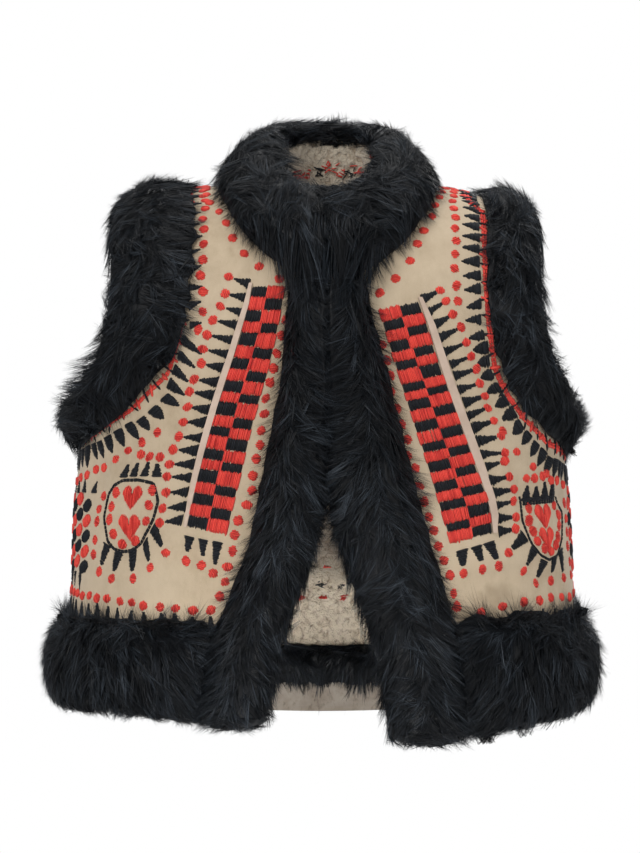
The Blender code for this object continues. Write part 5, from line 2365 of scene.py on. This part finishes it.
@dataclass(frozen=True)
class Studio:
    """A pale floor, soft lights and the camera."""

    distance: float = 2.6
    eye: float = -0.194
    aside: float = -0.0016
    focal_pixels: float = 3250.0
    frame_height: float = 853.0
    floor_level: float = -0.80
    floor_radius: float = 1.5
    middle: Triple = (0.0, 0.0, -0.2)
    beam_degrees: float = 4.0
    beam_softness: float = 0.14
    white: tuple[float, float, float, float] = (1.0, 1.0, 1.0, 1.0)
    daylight: tuple[float, float, float, float] = (0.95, 0.97, 1.0, 1.0)
    daylight_strength: float = 0.46

    def camera(self) -> None:
        """Sets the camera in front of the vest."""
        data = bpy.data.cameras.new("camera")
        data.sensor_fit = "VERTICAL"
        data.sensor_height = 24.0
        data.lens = self.focal_pixels / self.frame_height * data.sensor_height
        made = placed("camera", data)
        made.location = (self.aside, -self.distance, self.eye)
        made.rotation_euler = (math.pi / 2, 0.0, 0.0)
        bpy.context.scene.camera = made

    def floor(self) -> None:
        """Lays a plain pale floor under the vest."""
        mesh = bmesh.new()
        bmesh.ops.create_circle(mesh, cap_ends=True, segments=96, radius=self.floor_radius)
        bmesh.ops.translate(mesh, verts=mesh.verts[:], vec=(0.0, 0.0, self.floor_level))
        shader = Shader("floor", 0.9)
        tone = shader.colours(
            shader.cloud(shader.place(3.0), 2.0, 0.5), (0.3, (0.80,) * 3), (0.7, (0.83,) * 3)
        )
        named(mesh, "floor", shader.finish(tone))

    def aim(self, lamp: Piece, spot: Triple, target: Triple) -> None:
        """Puts a lamp at a spot and turns it to a target."""
        lamp.location = spot
        lamp.rotation_euler = (Vector(target) - Vector(spot)).to_track_quat("-Z", "Y").to_euler()

    def light(self, name: str, spot: Triple, power: float, size: float) -> None:
        """Hangs a soft square light that faces the vest.

        Args:
            name: the light's name.
            spot: where it hangs.
            power: its power in watts.
            size: its width.
        """
        data = bpy.data.lights.new(name, "AREA")
        data.energy = power
        data.size = size
        self.aim(placed(name, data), spot, self.middle)

    def beam(self, name: str, spot: Triple, aim: Triple, power: float) -> None:
        """Sends a narrow soft beam to one place.

        Args:
            name: the light's name.
            spot: where it stands.
            aim: the place it shines at.
            power: its power in watts.
        """
        data = bpy.data.lights.new(name, "SPOT")
        data.energy = power
        data.spot_size = math.radians(self.beam_degrees)
        data.spot_blend = 1.0
        data.shadow_soft_size = self.beam_softness
        data.cycles.max_bounces = 0
        self.aim(placed(name, data), spot, aim)

    def world(self) -> None:
        """Surrounds the vest with white that lights it evenly."""
        world = bpy.data.worlds.new("studio")
        world.use_nodes = True
        nodes, links = world.node_tree.nodes, world.node_tree.links
        nodes.clear()
        output = nodes.new("ShaderNodeOutputWorld")
        seen, lit = nodes.new("ShaderNodeBackground"), nodes.new("ShaderNodeBackground")
        seen.inputs["Color"].default_value = self.white
        seen.inputs["Strength"].default_value = 1.0
        lit.inputs["Color"].default_value = self.daylight
        lit.inputs["Strength"].default_value = self.daylight_strength
        mix, path = nodes.new("ShaderNodeMixShader"), nodes.new("ShaderNodeLightPath")
        links.new(path.outputs["Is Camera Ray"], mix.inputs[0])
        links.new(lit.outputs[0], mix.inputs[1])
        links.new(seen.outputs[0], mix.inputs[2])
        links.new(mix.outputs[0], output.inputs["Surface"])
        bpy.context.scene.world = world

    def build(self) -> None:
        """Sets the camera, the floor and the lights."""
        bpy.context.scene.view_settings.view_transform = "Standard"
        self.camera()
        self.floor()
        self.world()
        self.light("key", (-1.3, -2.0, 1.3), 34.0, 1.2)
        self.beam("lining_beam", (0.0, -2.2, -0.78), (0.0, 0.10, -0.358), 390.0)
        self.light("fill", (1.7, -1.9, 0.3), 16.0, 1.4)
        self.light("top", (0.0, 0.3, 1.9), 19.0, 1.4)
        self.light("back", (0.6, 2.2, 0.9), 22.0, 1.4)


def main() -> None:
    """Builds the vest piece by piece and reports each one."""
    logging.basicConfig(level=logging.INFO, format="%(name)s: %(message)s")
    noise.seed_set(NOISE_SEED)
    Studio().build()
    suede = SuedeFinish().make()
    pile = PileFinish().make()
    undercoat = FurFinish("undercoat", pale_share=0.0).make()
    hair = FurFinish("hair").make()
    for panel in PANELS:
        panel.build(suede)
    for lining in LININGS:
        lining.build(pile)
    CollarLining().build(pile)
    threads = {
        Yarn.RED: ThreadFinish("red_yarn", (0.860, 0.085, 0.060), (0.500, 0.022, 0.022)).make(),
        Yarn.BLACK: ThreadFinish("black_yarn", (0.0130, 0.0150, 0.0195), (0.0030, 0.0036, 0.0050)).make(),
    }
    for embroidery in EMBROIDERY:
        embroidery.build(threads)
    NeckEnds().build(threads)
    for band in FUR_BANDS:
        band.build(undercoat, hair)
    welt = SmoothSkinFinish("welt_skin", (0.600, 0.460, 0.365), (0.500, 0.375, 0.290)).make()
    # The facing's flecks are partly smudges and partly painted shadows of the strip's stray hairs.
    facing = SmoothSkinFinish("facing_skin", (0.400, 0.345, 0.285), (0.300, 0.250, 0.200), 0.45).make()
    for node, finish in (("chest_welt_left", welt), ("chest_welt_right", welt), ("hem_facing_back", facing)):
        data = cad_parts[node].data
        data.materials.clear()
        data.materials.append(finish)


if __name__ == "__main__":
    main()
